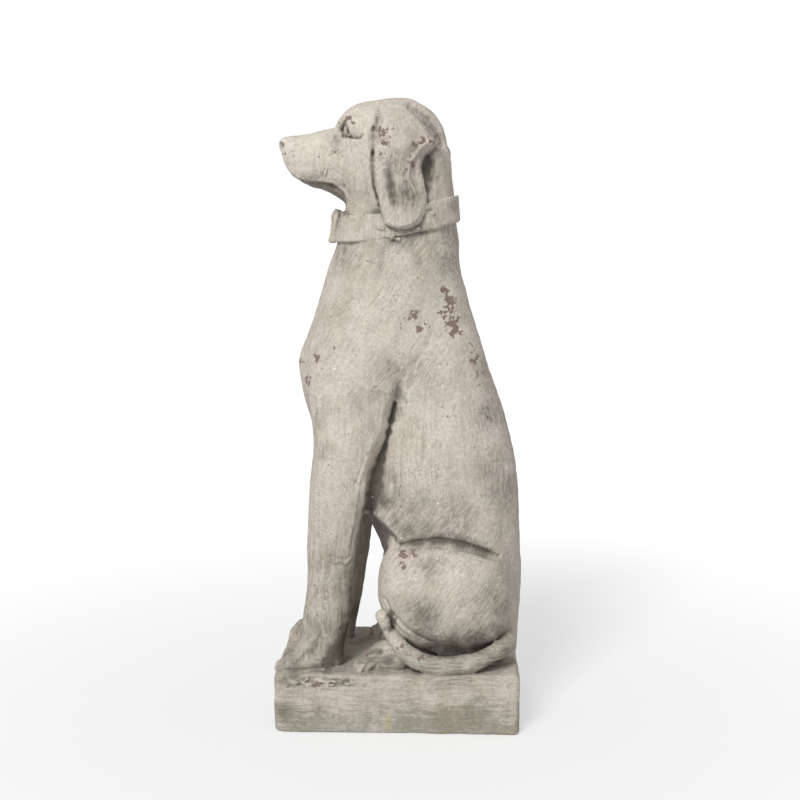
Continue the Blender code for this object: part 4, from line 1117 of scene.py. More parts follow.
# Darker patches, partly dirt and partly painted shade: in creases and hollows, under the collar and the
# thigh, behind the ear and down the legs' rear edges.
LEFT_GRIME_AND_SHADE = (
    (4.9, 10.6, 2.9, 0.72), (5.4, 8.3, 2.4, 0.6), (16.6, 8.6, 1.8, 0.5), (12.0, 6.4, 3.4, 0.55),
    (0.2, 48.6, 1.1, 0.8), (0.0, 46.0, 1.0, 0.6), (3.2, 28.8, 4.0, 0.42), (9.5, 26.0, 4.0, 0.45),
    (6.0, 36.0, 2.6, 0.22), (15.6, 35.0, 2.8, 0.42), (13.2, 40.0, 2.4, 0.22), (8.6, 71.6, 2.0, 0.5),
    (3.8, 71.6, 2.4, 0.3), (2.6, 67.8, 1.8, 0.25), (-9.2, 71.2, 1.6, 0.35), (-4.8, 60.2, 2.2, 0.22),
    (-0.8, 53.5, 2.4, 0.4), (2.6, 54.6, 2.2, 0.35), (-3.6, 49.2, 2.0, 0.35), (-12.8, 39.4, 1.3, 0.4),
    (-12.0, 45.4, 2.0, 0.25), (-11.4, 20.2, 1.6, 0.4), (-9.2, 17.0, 1.8, 0.4), (-10.0, 12.5, 1.4, 0.4),
    (-10.9, 3.7, 1.6, 0.75), (-9.6, 6.5, 1.2, 0.5), (-19.2, -6.6, 2.0, 0.55), (-17.0, -7.4, 1.6, 0.45),
    (4.0, -8.8, 2.8, 0.25), (14.0, -6.0, 3.0, 0.28), (17.0, -9.4, 2.4, 0.3), (-11.0, 92.6, 1.0, 0.55),
    (-1.4, 86.6, 1.2, 0.5), (-1.0, 83.4, 1.4, 0.55), (-0.8, 90.6, 0.9, 0.35), (5.0, 87.6, 1.2, 0.7),
    (5.2, 84.6, 1.0, 0.55), (4.2, 96.6, 1.0, 0.55), (5.6, 94.8, 1.0, 0.5), (-5.4, 83.2, 1.0, 0.45),
    (-3.2, 95.6, 0.7, 0.4), (0.8, 75.6, 2.2, 0.45), (4.0, 77.2, 1.8, 0.45), (6.6, 79.0, 1.4, 0.35),
    (-12.0, 22.0, 3.4, 0.25), (-11.6, 15.0, 3.6, 0.32), (-12.0, 8.0, 3.6, 0.38), (-13.0, 2.4, 3.2, 0.5),
    (-18.6, 0.6, 2.6, 0.5), (-4.6, 2.4, 2.4, 0.45), (-1.4, 7.0, 1.6, 0.3), (1.6, 3.8, 1.8, 0.42),
    (5.6, 1.8, 2.0, 0.45), (10.0, 1.0, 2.2, 0.42), (14.4, 2.2, 2.0, 0.42), (18.6, 4.4, 2.0, 0.5),
    (7.0, 23.4, 1.7, 0.7), (11.0, 23.0, 1.7, 0.7), (14.6, 21.6, 1.5, 0.6), (3.6, 23.0, 1.5, 0.6),
    (0.4, 88.0, 2.6, 0.5), (1.5, 83.0, 2.4, 0.6), (1.5, 93.0, 2.2, 0.3), (-2.6, 80.2, 1.2, 0.4),
    (4.6, 81.6, 1.0, 0.4), (-3.3, 96.4, 0.6, 0.45), (-3.6, 95.3, 0.6, 0.5), (-3.9, 94.2, 0.7, 0.6),
    (-4.1, 92.9, 0.7, 0.6), (-4.2, 91.6, 0.5, 0.45), (-4.3, 90.4, 0.45, 0.4), (-4.3, 89.2, 0.45, 0.4),
    (-4.3, 88.0, 0.45, 0.4), (-4.3, 86.7, 0.45, 0.4), (-4.2, 85.4, 0.45, 0.4), (-4.0, 84.2, 0.45, 0.4),
    (-3.7, 82.8, 0.45, 0.4), (-1.7, 88.4, 0.7, 0.45), (-1.6, 87.2, 0.8, 0.7), (-1.4, 86.0, 0.8, 0.9),
    (-1.2, 84.6, 0.8, 1.1), (-0.9, 83.2, 0.8, 1.1), (-0.5, 81.8, 0.7, 0.9), (1.2, 83.2, 0.9, 0.9),
    (2.1, 82.4, 0.7, 0.8), (1.1, 86.6, 0.35, 0.8), (1.3, 85.2, 0.35, 0.9), (2.1, 83.9, 0.35, 0.9),
    (2.5, 82.6, 0.4, 0.8), (2.8, 97.4, 0.7, 0.4), (3.7, 96.7, 0.8, 0.55), (4.6, 95.8, 0.9, 0.65),
    (5.4, 94.7, 0.9, 0.65), (6.0, 93.7, 0.8, 0.6), (5.2, 88.6, 0.7, 1.1), (5.2, 87.2, 0.6, 1.0),
    (5.3, 85.8, 0.6, 0.9), (5.4, 84.4, 0.5, 0.8), (-1.2, 10.2, 0.5, 1.2), (-0.8, 9.0, 0.5, 1.4),
    (-1.2, 7.8, 0.5, 1.2), (-2.2, 7.7, 0.4, 0.9), (-8.9, 9.3, 0.7, 0.8), (-9.2, 7.0, 0.9, 1.1),
    (-9.6, 5.2, 1.0, 1.4), (-8.4, 11.8, 0.8, 0.65), (16.1, 14.6, 2.4, 0.6), (-8.4, 13.6, 0.8, 0.6),
    (-8.3, 15.4, 0.8, 0.55), (-8.2, 17.2, 0.8, 0.5), (-8.1, 19.0, 0.8, 0.45), (-9.5, 73.4, 0.5, 0.7),
    (-9.7, 71.8, 0.5, 0.6), (-10.2, 69.6, 0.6, 0.4), (-2.2, 73.0, 0.9, 0.4), (-2.8, 70.0, 0.9, 0.35),
    (3.4, 71.4, 1.2, 0.4), (2.1, 68.0, 1.2, 0.3), (3.6, 55.2, 1.0, 0.4), (1.4, 52.6, 1.0, 0.45),
    (5.2, 88.4, 1.0, 0.9), (5.7, 86.2, 1.0, 0.7), (5.4, 84.0, 0.8, 0.6), (15.0, 11.0, 4.0, 0.3),
    (17.0, 16.0, 3.0, 0.3), (-16.0, 85.1, 0.7, 0.7), (-14.0, 84.8, 0.7, 0.7), (-12.0, 84.3, 0.7, 0.7),
    (-10.8, 83.0, 0.7, 0.6), (-9.3, 93.6, 0.6, 0.4), (-7.2, 92.8, 0.35, 0.3), (3.0, 97.6, 0.7, 0.6),
    (6.9, 93.2, 0.8, 0.7), (9.6, 81.0, 0.8, 0.6), (8.8, 75.6, 1.6, 0.5), (5.5, 74.6, 1.4, 0.35),
    (-8.9, 79.9, 0.5, 0.6), (-4.0, 80.2, 0.7, 0.5), (-4.6, 74.6, 1.0, 0.4), (-0.6, 75.2, 1.0, 0.6),
    (-6.4, 30.6, 1.2, 0.5), (-3.4, 31.4, 2.2, 0.45), (-2.4, 27.0, 2.0, 0.35), (10.0, 5.0, 2.4, 0.95),
    (14.0, 6.2, 2.4, 0.95), (6.4, 5.2, 1.8, 0.9), (4.2, 7.0, 1.4, 0.7), (17.4, 7.6, 1.8, 0.7),
    (18.0, 11.4, 2.0, 0.6), (-12.6, 58.0, 2.0, 0.2), (-10.0, 73.5, 1.8, 0.4), (-10.9, 2.8, 1.3, 1.7),
    (-9.8, 4.4, 1.1, 1.5), (-12.4, 1.2, 1.0, 1.3), (-1.4, 2.0, 1.2, 0.8), (-3.0, 3.4, 0.8, 0.6),
    (-0.6, 34.2, 1.2, 0.5), (0.2, 31.0, 2.0, 0.45), (-1.9, 29.6, 1.2, 0.8), (-1.5, 42.2, 0.5, 1.2),
    (-2.2, 39.6, 0.45, 1.2), (-3.0, 37.2, 0.6, 1.3), (-3.5, 34.9, 0.9, 1.5), (-3.9, 32.8, 0.95, 1.6),
    (-4.3, 30.8, 0.9, 1.6), (-4.6, 28.8, 0.8, 1.5), (-0.9, 44.4, 0.6, 1.0), (-20.75, 91.8, 0.4, 1.6),
    (-0.2, 26.4, 1.4, 0.6), (1.6, 25.0, 1.6, 0.7), (5.0, 26.0, 1.8, 0.6), (17.6, 31.6, 3.0, 0.5),
    (16.0, 45.0, 2.4, 0.5), (15.0, 52.0, 2.0, 0.3), (5.6, 19.8, 2.6, 0.48), (16.4, 2.6, 2.0, 0.6),
    (19.0, 3.8, 1.6, 0.7), (-12.8, 43.8, 0.9, 0.4), (-13.0, 38.6, 1.1, 0.5), (0.4, 11.6, 1.2, 0.3),
    (13.0, 11.4, 2.4, 0.3),
)
RIGHT_GRIME_AND_SHADE = (
    (3.6, 11.4, 3.0, 0.5), (12.0, 7.0, 3.4, 0.5), (0.2, 47.6, 1.1, 0.6), (5.0, 27.6, 4.4, 0.45),
    (15.0, 34.0, 3.0, 0.4), (7.6, 71.4, 2.4, 0.45), (-8.6, 70.8, 1.8, 0.3), (-1.0, 54.6, 2.6, 0.35),
    (-11.6, 41.0, 1.6, 0.4), (-9.6, 16.0, 2.0, 0.4), (-18.8, 2.0, 1.0, 0.6), (-8.4, 5.6, 1.6, 0.6),
    (-15.0, -7.0, 2.4, 0.5), (9.0, -8.6, 3.0, 0.35), (18.6, -5.0, 2.2, 0.35), (-1.2, 86.6, 1.3, 0.5),
    (-0.6, 83.0, 1.4, 0.5), (5.0, 87.0, 1.3, 0.6), (4.6, 96.0, 1.2, 0.5), (-11.0, 92.6, 1.0, 0.5),
)

# How far round each point hollows are measured, in metres, and how far the grid is thinned for it.
HOLLOW_REACHES = (0.0018, 1), (0.007, 2), (0.02, 4)

# The edge of the lips, as (y, z), in shares.
LIPS = (
    (-17.7, 86.0), (-16.5, 85.6), (-14.5, 85.4), (-12.9, 85.3), (-11.7, 85.1), (-11.0, 84.7), (-10.4, 84.3),
    (-9.6, 83.7), (-9.0, 82.4),
)


def finish_surface(statue, clay):
    """Write on each point how deep in a hollow it lies, how worn it is, how its wash was brushed, and where
    shade and light are painted.
    """
    mesh = statue.data
    points = rows_of(mesh.vertices, "co")
    facing = rows_of(mesh.vertex_normals, "vector")
    y, z = points[:, 1] / SHARE, (points[:, 2] - PLINTH_HEIGHT) / SHARE
    side = np.abs(points[:, 0]) / SIDE_SHARE
    fine, middling, broad = (clay.fullness(reach, points, thin) for reach, thin in HOLLOW_REACHES)
    on_plinth = step_between(z, -0.2, -1.0)
    plinth_top = all_steps(
        (z, 1.2, 0.5), (side, 14.9, 14.6), (np.abs(y), 21.3, 20.9), (z, -0.6, -0.3), (facing[:, 2], 0.5, 0.8),
        (y, -16.5, -12.5),
    )
    beside_tail = all_steps((points[:, 0] / SIDE_SHARE, 9.0, 10.5), (y, 1.0, 8.0))
    inward = -facing[:, 0] * np.sign(points[:, 0])
    lips = np.interp(y, *np.transpose(LIPS))
    muzzle = all_steps((y, -9.0, -9.8), (z, 79.5, 80.5))
    # The jaw below the lips, which gets painted shade, as under the lip's overhang.
    jaw = step_between(lips - z, -0.15, 0.1) * muzzle
    # The lip's lower rim, given a painted highlight.
    lip_rim_highlight = all_steps((z - lips, 0.0, 0.2), (z - lips, 1.2, 0.8)) * muzzle
    crumbs = step_between(points[:, 0], PLINTH_WIDTH / 2 - 0.0013, PLINTH_WIDTH / 2 - 0.0005)
    crumbled = all_steps(
        (z, -0.2, -0.6), (z, -2.5, -2.1), (y, -6.6, -8.4), (y, -19.8, -18.8), (points[:, 0], 0.1, 0.105)
    )
    # The belly's downward face, which gets painted shade.
    belly = all_steps(
        (z, 35.0, 31.0), (z, 12.0, 16.0), (y, 5.0, 2.0), (y, -9.5, -8.0), (-facing[:, 1], 0.35, 0.6),
        (-facing[:, 2], 0.1, 0.25),
    )
    # The wash thins, darker towards the bottom: near the plinth's top, down the lower forelegs, and down the
    # plinth's sides.
    thinner_wash_low_down = np.maximum(0.5 * step_between(z, 6.0, 2.0), 0.65 * all_steps((y, -5.0, -8.0), (z, 28.0, 12.0)))
    inner = all_steps((inward, 0.25, 0.6), (z, 30.0, 24.0), (y, 4.0, 0.0))
    thinner_wash_low_down *= 1 - 0.8 * np.maximum(plinth_top, inner)
    thinner_wash_low_down = np.where(z < -1.0, 0.38 + 1.3 * step_between(z, -4.0, -9.0), thinner_wash_low_down)
    # How deep each point lies in hollows; the finish darkens hollows with dirt and with painted shade.
    hollow = (
        np.clip((fine - 0.53) * 3.2, 0, 1) * 0.35
        + np.clip((middling - 0.54) * 3.0, 0, 1) * 0.65
        + np.clip((broad - 0.56) * 2.0, 0, 1) * 0.45
    )
    layers = {
        "hollow": hollow * (1 - 0.8 * np.maximum(np.maximum(plinth_top, inner), lip_rim_highlight)),
        "edge": np.clip((0.47 - fine) * 4.5, 0, 1) * 0.5 + np.clip((0.42 - middling) * 3.0, 0, 1) * 0.5,
        # Painted shade: the dark ground colour on the belly's downward face, on the jaw under the lips, and
        # faintly on the plinth's top.
        "painted_under_shade": np.maximum(0.2 * plinth_top * (1 - 0.7 * beside_tail), np.maximum(belly, 0.9 * jaw)),
        # Paler patches: thick wash, and painted light on the lip's rim and down the far foreleg.
        "thick_wash_and_painted_light": np.maximum.reduce(
            [spots(points, LEFT_THICK, 1), spots(points, RIGHT_THICK_AND_LIT, -1), 0.6 * lip_rim_highlight, crumbs * crumbled]
        ),
        "thinner_wash_low_down": thinner_wash_low_down,
        "level_strokes": np.maximum(on_plinth, all_steps((z, 6.0, 4.5), (side, 11.0, 11.8))),
        "slanting_strokes": np.maximum(
            all_steps((z, 44.0, 54.0), (z, 78.0, 73.0)),
            all_steps((z, 36.0, 26.0), (z, 5.0, 9.0), (y, -6.0, -4.0)),
        ),
        "chipping": np.maximum(spots(points, LEFT_CHIPS, 1), spots(points, RIGHT_CHIPS, -1)),
        # Dirt and painted shade in patches, and painted shadows round the mortar crumbs on the plinth's edge.
        "grime_and_painted_shade": np.maximum.reduce(
            [spots(points, LEFT_GRIME_AND_SHADE, 1), spots(points, RIGHT_GRIME_AND_SHADE, -1), 0.5 * (1 - crumbs) * crumbled]
        ),
    }
    for name, values in layers.items():
        mesh.attributes.new(name, "FLOAT", "POINT").data.foreach_set("value", values.astype(np.float32))


def node(tree, kind, **settings):
    """A shader node, with its properties and the values of its sockets set by name."""
    made = tree.nodes.new(kind)
    for name, value in settings.items():
        if hasattr(made, name):
            setattr(made, name, value)
        else:
            made.inputs[name.replace("_", " ")].default_value = value
    return made


def wire(tree, source, target):
    """Join a socket, or set a plain value."""
    if isinstance(source, bpy.types.NodeSocket):
        tree.links.new(source, target)
    else:
        target.default_value = source


def maths(operation):
    """A tool that puts one kind of sum into a tree and gives its result."""

    def put_sum(tree, *values, clamp=False):
        made = node(tree, "ShaderNodeMath", operation=operation, use_clamp=clamp)
        for value, socket in zip(values, made.inputs):
            wire(tree, value, socket)
        return made.outputs[0]

    return put_sum


plus, minus, times, times_plus = map(maths, ("ADD", "SUBTRACT", "MULTIPLY", "MULTIPLY_ADD"))
less_than, more_than, size_of = map(maths, ("LESS_THAN", "GREATER_THAN", "ABSOLUTE"))


def between(tree, value, start, end, low=0.0, high=1.0):
    """The value's way from start to end, as a smooth step from low to high."""
    made = node(tree, "ShaderNodeMapRange", interpolation_type="SMOOTHSTEP")
    wire(tree, value, made.inputs["Value"])
    for name, number in zip(("From Min", "From Max", "To Min", "To Max"), (start, end, low, high)):
        made.inputs[name].default_value = number
    return made.outputs["Result"]


def blend(tree, share, under, over, kind="MIX"):
    """One colour laid over another, by a share."""
    made = node(tree, "ShaderNodeMix", data_type="RGBA", blend_type=kind)
    wire(tree, share, made.inputs["Factor"])
    wire(tree, under, made.inputs["A"])
    wire(tree, over, made.inputs["B"])
    return made.outputs["Result"]


def mix(tree, share, under, over):
    """One number mixed into another, by a share."""
    made = node(tree, "ShaderNodeMix", data_type="FLOAT")
    for name, value in (("Factor", share), ("A", under), ("B", over)):
        wire(tree, value, made.inputs[name])
    return made.outputs["Result"]


def layer(tree, name):
    return node(tree, "ShaderNodeAttribute", attribute_name=name).outputs["Fac"]


def grain(tree, where, scale, detail=3.0, roughness=0.55):
    made = node(tree, "ShaderNodeTexNoise")
    wire(tree, where, made.inputs["Vector"])
    made.inputs["Scale"].default_value = scale
    made.inputs["Detail"].default_value = detail
    made.inputs["Roughness"].default_value = roughness
    return made.outputs["Fac"]


def new_group(name, numbers, outputs):
    """A group that is given a position and some numbers, each with its usual value."""
    group = bpy.data.node_groups.new(name, "ShaderNodeTree")
    group.interface.new_socket("Position", in_out="INPUT", socket_type="NodeSocketVector")
    for label, value in numbers.items():
        socket = group.interface.new_socket(label, in_out="INPUT", socket_type="NodeSocketFloat")
        socket.default_value = value
    for label in outputs:
        group.interface.new_socket(label, in_out="OUTPUT", socket_type="NodeSocketFloat")
    return group, group.nodes.new("NodeGroupInput"), group.nodes.new("NodeGroupOutput")


def brush_strokes_group():
    """Bristle marks of the wash: upright, level or slanting as the surface asks."""
    outputs = ("Bristles", "Strokes")
    group, given, put = new_group("Brush strokes", {"Level": 0.0, "Slanting": 0.0}, outputs)
    wobble = node(group, "ShaderNodeTexNoise", Scale=14.0, Detail=1.0)
    wire(group, given.outputs["Position"], wobble.inputs["Vector"])
    offset = node(group, "ShaderNodeVectorMath", operation="MULTIPLY_ADD")
    wire(group, wobble.outputs["Color"], offset.inputs[0])
    offset.inputs[1].default_value = (0.014, 0.014, 0.014)
    wire(group, given.outputs["Position"], offset.inputs[2])
    patches = grain(group, given.outputs["Position"], 22.0, 2.0, 0.5)
    level = between(group, times_plus(group, patches, 0.6, given.outputs["Level"]), 0.72, 0.88)
    slanting = between(group, times_plus(group, patches, 0.9, given.outputs["Slanting"]), 0.9, 1.05)
    drawings = []
    for turn, stretch in ((0.0, (1.0, 1.0, 0.07)), (0.0, (0.07, 0.07, 1.0)), (0.62, (1.0, 1.0, 0.09))):
        turned = node(group, "ShaderNodeVectorRotate", rotation_type="X_AXIS", Angle=turn)
        wire(group, offset.outputs["Vector"], turned.inputs["Vector"])
        drawn = node(group, "ShaderNodeVectorMath", operation="MULTIPLY")
        wire(group, turned.outputs["Vector"], drawn.inputs[0])
        drawn.inputs[1].default_value = stretch
        fine = grain(group, drawn.outputs["Vector"], 620.0, 2.0, 0.6)
        drawings.append((fine, grain(group, drawn.outputs["Vector"], 270.0, 3.0, 0.65)))
    for output, upright, across, sloped in zip(outputs, *drawings):
        mixed = mix(group, level, mix(group, slanting, upright, sloped), across)
        wire(group, mixed, put.inputs[output])
    return group


def pinholes_group():
    """Air holes of the casting: a mask of small round spots."""
    group, given, put = new_group("Pinholes", {"Scale": 150.0, "Amount": 0.3}, ["Holes"])
    cells = node(group, "ShaderNodeTexVoronoi", feature="F1")
    wire(group, given.outputs["Position"], cells.inputs["Vector"])
    wire(group, given.outputs["Scale"], cells.inputs["Scale"])
    chosen = node(group, "ShaderNodeSeparateColor")
    wire(group, cells.outputs["Color"], chosen.inputs["Color"])
    wanted = less_than(group, chosen.outputs["Red"], given.outputs["Amount"])
    size = between(group, chosen.outputs["Green"], 0.0, 1.0, 0.1, 0.26)
    depth = minus(group, size, cells.outputs["Distance"])
    hole = between(group, depth, 0.0, 0.08)
    wire(group, times(group, hole, wanted), put.inputs["Holes"])
    return group


def flaking_group():
    """Ragged flakes where a coat has come away, wherever the chance given is high."""
    group, given, put = new_group("Flaking", {"Chance": 0.0, "Scale": 170.0}, ["Flakes"])
    ragged = node(group, "ShaderNodeTexNoise", Detail=3.0, Roughness=0.58, Distortion=0.5)
    wire(group, given.outputs["Position"], ragged.inputs["Vector"])
    wire(group, given.outputs["Scale"], ragged.inputs["Scale"])
    reach = times(group, given.outputs["Chance"], 0.38)
    level = plus(group, ragged.outputs["Fac"], reach)
    wire(group, between(group, level, 0.755, 0.775), put.inputs["Flakes"])
    return group


def paint_mark_group():
    """A short upright dab of yellow paint on the left face of the plinth."""
    group, given, put = new_group("Paint mark", {}, ["Mark"])
    low, high = place(14.5, -1.62, -9.9), place(15.4, -1.36, -7.0)
    split = node(group, "ShaderNodeSeparateXYZ")
    wire(group, given.outputs["Position"], split.inputs["Vector"])
    mark = between(group, grain(group, given.outputs["Position"], 400.0), 0.36, 0.5, 0.25, 0.85)
    mark = times(group, mark, more_than(group, split.outputs["X"], float(low[0])))
    for axis, name in ((1, "Y"), (2, "Z")):
        middle, half = float(low[axis] + high[axis]) / 2, float(high[axis] - low[axis]) / 2
        away = size_of(group, minus(group, split.outputs[name], middle))
        mark = times(group, mark, between(group, away, half + 0.0003, half - 0.0003))
    wire(group, mark, put.inputs["Mark"])
    return group


def place_group(tree, group, **values):
    made = tree.nodes.new("ShaderNodeGroup")
    made.node_tree = group
    for name, value in values.items():
        wire(tree, value, made.inputs[name])
    return made.outputs


# Colours of the finish: the wash with its blotches, then what it thins to, what it covers and what marks it,
# painted shade and painted glints among them.
WASH = (0.46, 0.415, 0.35, 1), (0.53, 0.485, 0.425, 1)
BLOTCHED_WASH = (0.54, 0.475, 0.425, 1)
WARM_WASH = (0.535, 0.465, 0.425, 1)
THICK_WASH_AND_LIGHT = (0.62, 0.565, 0.495, 1)
THIN_WASH = (0.24, 0.218, 0.172, 1), (0.3, 0.275, 0.235, 1)
# The darker ground colour, used only as painted shade on the undersides.
PAINTED_SHADE_GROUND = (0.15, 0.132, 0.118, 1), (0.195, 0.173, 0.156, 1)
# Dark olive colour of dirt and of painted shade.
GRIME_AND_SHADE = (0.092, 0.086, 0.068, 1)
RUBBED = (0.58, 0.53, 0.46, 1)
MOTTLING = (0.22, 0.22, 0.22, 1), (0.78, 0.78, 0.78, 1)
CHIP = (0.205, 0.15, 0.13, 1)
PIT = (0.15, 0.135, 0.11, 1)
PINHOLE = (0.1, 0.09, 0.075, 1)
# White of the painted glints.
GLINT_WHITE = (0.8, 0.78, 0.74, 1)
YELLOW = (0.42, 0.33, 0.075, 1)


def washed_stone(strokes, pinholes, flaking, paint_mark):
    """Grey-beige cement wash brushed over a darker ground, with dirt and painted shade in the hollows and
    undersides, painted light and glints, chips and pinholes.
    """
    material = bpy.data.materials.new("washed_cast_stone")
    material.use_nodes = True
    tree = material.node_tree
    shader = tree.nodes["Principled BSDF"]
    where = node(tree, "ShaderNodeTexCoord").outputs["Object"]
    hollow, edge, painted_under_shade = layer(tree, "hollow"), layer(tree, "edge"), layer(tree, "painted_under_shade")
    level, slanting = layer(tree, "level_strokes"), layer(tree, "slanting_strokes")
    brushed = place_group(tree, strokes, Position=where, Level=level, Slanting=slanting)
    clouds = grain(tree, where, 26.0, 4.0, 0.6)
    blotches = grain(tree, where, 75.0, 4.0, 0.6)
    speckle = grain(tree, where, 900.0, 2.0, 0.6)
    lumps = grain(tree, where, 230.0, 3.0, 0.6)

    wash = blend(tree, between(tree, clouds, 0.36, 0.64), *WASH)
    wash = blend(tree, between(tree, blotches, 0.4, 0.66, 0.0, 0.5), wash, BLOTCHED_WASH)
    warmer = between(tree, grain(tree, where, 12.0, 3.0, 0.55), 0.44, 0.62, 0.0, 0.6)
    wash = blend(tree, warmer, wash, WARM_WASH)
    # Thick pale wash, and painted light on the lip's rim and the far foreleg.
    thick_and_lit = layer(tree, "thick_wash_and_painted_light")
    wash = blend(tree, times(tree, thick_and_lit, 0.85), wash, THICK_WASH_AND_LIGHT)
    under = blend(tree, between(tree, clouds, 0.35, 0.65), *THIN_WASH)
    ground = blend(tree, between(tree, clouds, 0.35, 0.65), *PAINTED_SHADE_GROUND)

    bare = plus(tree, brushed["Bristles"], brushed["Strokes"])
    # settled holds the patches of dirt and painted shade.
    settled = layer(tree, "grime_and_painted_shade")
    # Where the wash thins towards the bottom.
    thinner_wash_low_down = layer(tree, "thinner_wash_low_down")
    showing = between(tree, grain(tree, where, 34.0, 2.0, 0.5), 0.4, 0.62, 0.1, 0.36)
    streaked = times(tree, between(tree, bare, 1.16, 0.82), showing)
    laid_on = times_plus(tree, bare, 0.5, plus(tree, blotches, clouds))
    most = plus(tree, times_plus(tree, settled, 0.45, 0.22), times(tree, thinner_wash_low_down, 0.85))
    most = times_plus(tree, thick_and_lit, -0.2, most)
    thin = times(tree, between(tree, laid_on, 1.8, 1.1, 0.35, 1.0), most, clamp=True)
    colour = blend(tree, plus(tree, streaked, thin, clamp=True), wash, under)
    # Painted shade: the belly's underside, the jaw and the plinth's top take the dark ground colour.
    colour = blend(tree, times(tree, painted_under_shade, 0.9), colour, ground)

    # Hollows and dark patches turn to the dark olive colour: dirt, and painted shade where shade falls.
    grime_and_shade_chance = times_plus(tree, hollow, 1.3, times(tree, settled, 1.05))
    grime_and_shade_noise = plus(tree, times(tree, blotches, 0.9), times(tree, bare, -0.5))
    grime_and_shade = between(tree, plus(tree, grime_and_shade_chance, grime_and_shade_noise), 0.02, 1.15)
    colour = blend(tree, times(tree, grime_and_shade, 0.92), colour, GRIME_AND_SHADE)

    rubbed = times(tree, edge, between(tree, bare, 0.85, 1.15, 0.25, 1.0))
    colour = blend(tree, times(tree, rubbed, 0.75), colour, RUBBED)
    mottled = between(tree, plus(tree, speckle, lumps), 0.72, 1.28)
    colour = blend(tree, 0.26, colour, blend(tree, mottled, *MOTTLING), "OVERLAY")

    flakes = place_group(tree, flaking, Position=where, Chance=layer(tree, "chipping"), Scale=135.0)["Flakes"]
    colour = blend(tree, flakes, colour, CHIP)
    crumbly = times(tree, plus(tree, settled, edge), 0.36)
    crumbly = plus(tree, between(tree, clouds, 0.46, 0.66, 0.0, 0.34), crumbly)
    pits = place_group(tree, flaking, Position=where, Chance=crumbly, Scale=330.0)["Flakes"]
    colour = blend(tree, times(tree, pits, 0.42), colour, PIT)
    holes = place_group(tree, pinholes, Position=where, Scale=190.0, Amount=0.06)["Holes"]
    colour = blend(tree, times(tree, holes, 0.75), colour, PINHOLE)
    # Painted glints: tiny white points, as of light caught on the stone.
    painted_glints = place_group(tree, pinholes, Position=where, Scale=170.0, Amount=0.012)["Holes"]
    colour = blend(tree, times(tree, painted_glints, 0.9), colour, GLINT_WHITE)

    mark = place_group(tree, paint_mark, Position=where)["Mark"]
    colour = blend(tree, mark, colour, YELLOW)

    wire(tree, colour, shader.inputs["Base Color"])
    wire(tree, between(tree, grime_and_shade, 0.0, 1.0, 0.93, 0.8), shader.inputs["Roughness"])
    shader.inputs["Specular IOR Level"].default_value = 0.25

    height = times(tree, brushed["Bristles"], 0.0004)
    for relief, metres in (
        (brushed["Strokes"], 0.0007), (lumps, 0.0011), (speckle, 0.0002), (flakes, -0.00022), (pits, -0.0003),
        (holes, -0.0005),
    ):
        height = times_plus(tree, relief, metres, height)
    bump = node(tree, "ShaderNodeBump", Strength=0.9, Distance=1.0)
    wire(tree, height, bump.inputs["Height"])
    wire(tree, bump.outputs["Normal"], shader.inputs["Normal"])
    return material


def put_in_scene(name, data):
    made = bpy.data.objects.new(name, data)
    bpy.context.scene.collection.objects.link(made)
    return made


def build_statue():
    clay = model_statue()
    statue = put_in_scene("hound_casting", mesh_from(*clay.surface()))
    smooth = statue.modifiers.new("Even out the grid", "SMOOTH")
    smooth.factor = 0.5
    smooth.iterations = 1
    thin = statue.modifiers.new("Fewer faces", "DECIMATE")
    thin.ratio = min(1.0, TRIANGLES / (2 * len(statue.data.polygons)))
    thin.use_collapse_triangulate = True
    apply_modifiers(statue)
    keep_one_skin(statue.data)
    points = np.clip(rows_of(statue.data.vertices, "co"), *cad_box)
    statue.data.vertices.foreach_set("co", points.astype(np.float32).ravel())
    statue.data.shade_smooth()
    finish_surface(statue, clay)
    groups = brush_strokes_group(), pinholes_group(), flaking_group(), paint_mark_group()
    statue.data.materials.append(washed_stone(*groups))
    return statue


def soft_light(name, turn, height, spread, strength):
    """A broad, even light, turned round from the hound's front and raised from level by these degrees."""
    lamp = bpy.data.lights.new(name, "SUN")
    lamp.angle = math.radians(spread)
    lamp.energy = strength
    holder = put_in_scene(name, lamp)
    holder.rotation_euler = (math.radians(90 - height), 0, math.radians(turn))


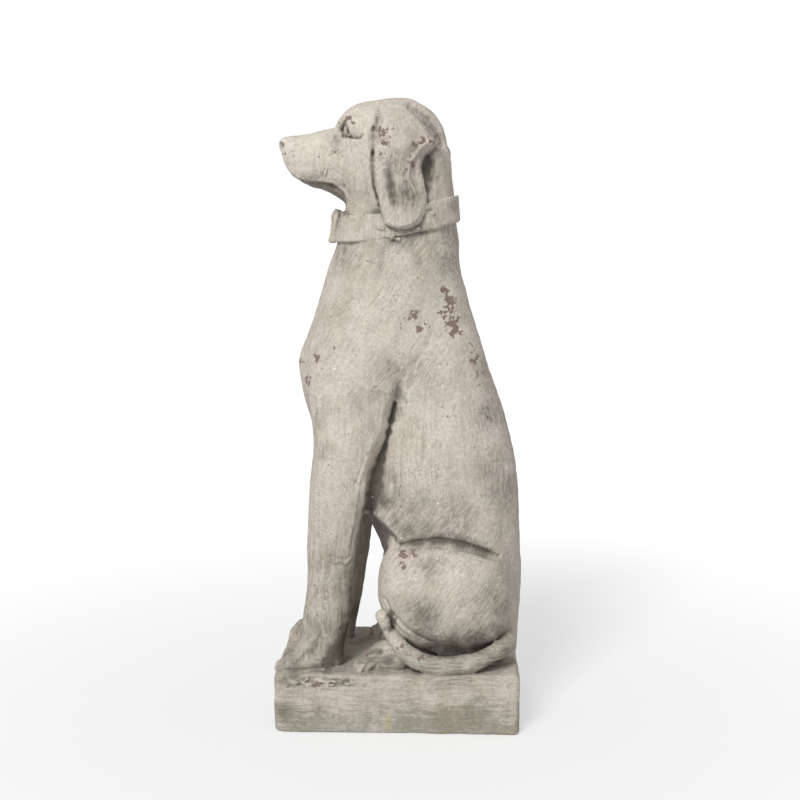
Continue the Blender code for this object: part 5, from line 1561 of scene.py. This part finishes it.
def set_camera():
    """The camera stands off the hound's left side, a little in front of square and a little above."""
    round_it, above, distance = math.radians(92.0), math.radians(7.482), 1.8
    lens = bpy.data.cameras.new("camera")
    lens.sensor_width = 36.0
    lens.lens = 61.97
    camera = put_in_scene("camera", lens)
    level = math.cos(above)
    back = np.array([math.sin(round_it) * level, -math.cos(round_it) * level, math.sin(above)])
    looked_at = np.array([0, 0.0007422, 0.4130164])
    camera.location = looked_at + back * distance
    camera.rotation_euler = (math.pi / 2 - above, 0, round_it)
    bpy.context.scene.camera = camera


# Half the floor's side.
FLOOR_REACH = 30.0


def set_stage():
    """A white floor under an even white sky. To the camera the floor glows, less near the statue: painted
    shade round the plinth.
    """
    mesh = bpy.data.meshes.new("floor")
    corners = [(x * FLOOR_REACH, y * FLOOR_REACH, 0) for x, y in ((-1, -1), (1, -1), (1, 1), (-1, 1))]
    mesh.from_pydata(corners, [], [(0, 1, 2, 3)])
    floor = put_in_scene("floor", mesh)
    paint = bpy.data.materials.new("white_floor")
    paint.use_nodes = True
    tree = paint.node_tree
    shader = tree.nodes["Principled BSDF"]
    shader.inputs["Base Color"].default_value = (0.36, 0.36, 0.36, 1)
    shader.inputs["Roughness"].default_value = 0.9
    shader.inputs["Specular IOR Level"].default_value = 0.0
    shader.inputs["Emission Color"].default_value = (1, 1, 1, 1)
    away = node(tree, "ShaderNodeVectorMath", operation="LENGTH")
    wire(tree, node(tree, "ShaderNodeTexCoord").outputs["Object"], away.inputs[0])
    seen = node(tree, "ShaderNodeLightPath").outputs["Is Camera Ray"]
    # Painted shade on the floor: its glow to the camera is weaker near the statue.
    glow_dimmed_near_statue = mix(tree, seen, 0.4, between(tree, away.outputs["Value"], 0.25, 1.5, 0.52, 0.7))
    wire(tree, glow_dimmed_near_statue, shader.inputs["Emission Strength"])
    mesh.materials.append(paint)
    world = bpy.data.worlds.new("sky")
    world.use_nodes = True
    sky = world.node_tree.nodes["Background"]
    sky.inputs["Color"].default_value = (1, 1, 1, 1)
    seen = node(world.node_tree, "ShaderNodeLightPath").outputs["Is Camera Ray"]
    wire(world.node_tree, between(world.node_tree, seen, 0.0, 1.0, 0.55, 1.0), sky.inputs["Strength"])
    bpy.context.scene.world = world
    bpy.context.scene.view_settings.view_transform = "Standard"
    return floor


statue = build_statue()
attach(statue, "root")
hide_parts("dog_statue")
set_stage()
set_camera()
soft_light("key", turn=68.0, height=38.0, spread=22.0, strength=2.6)
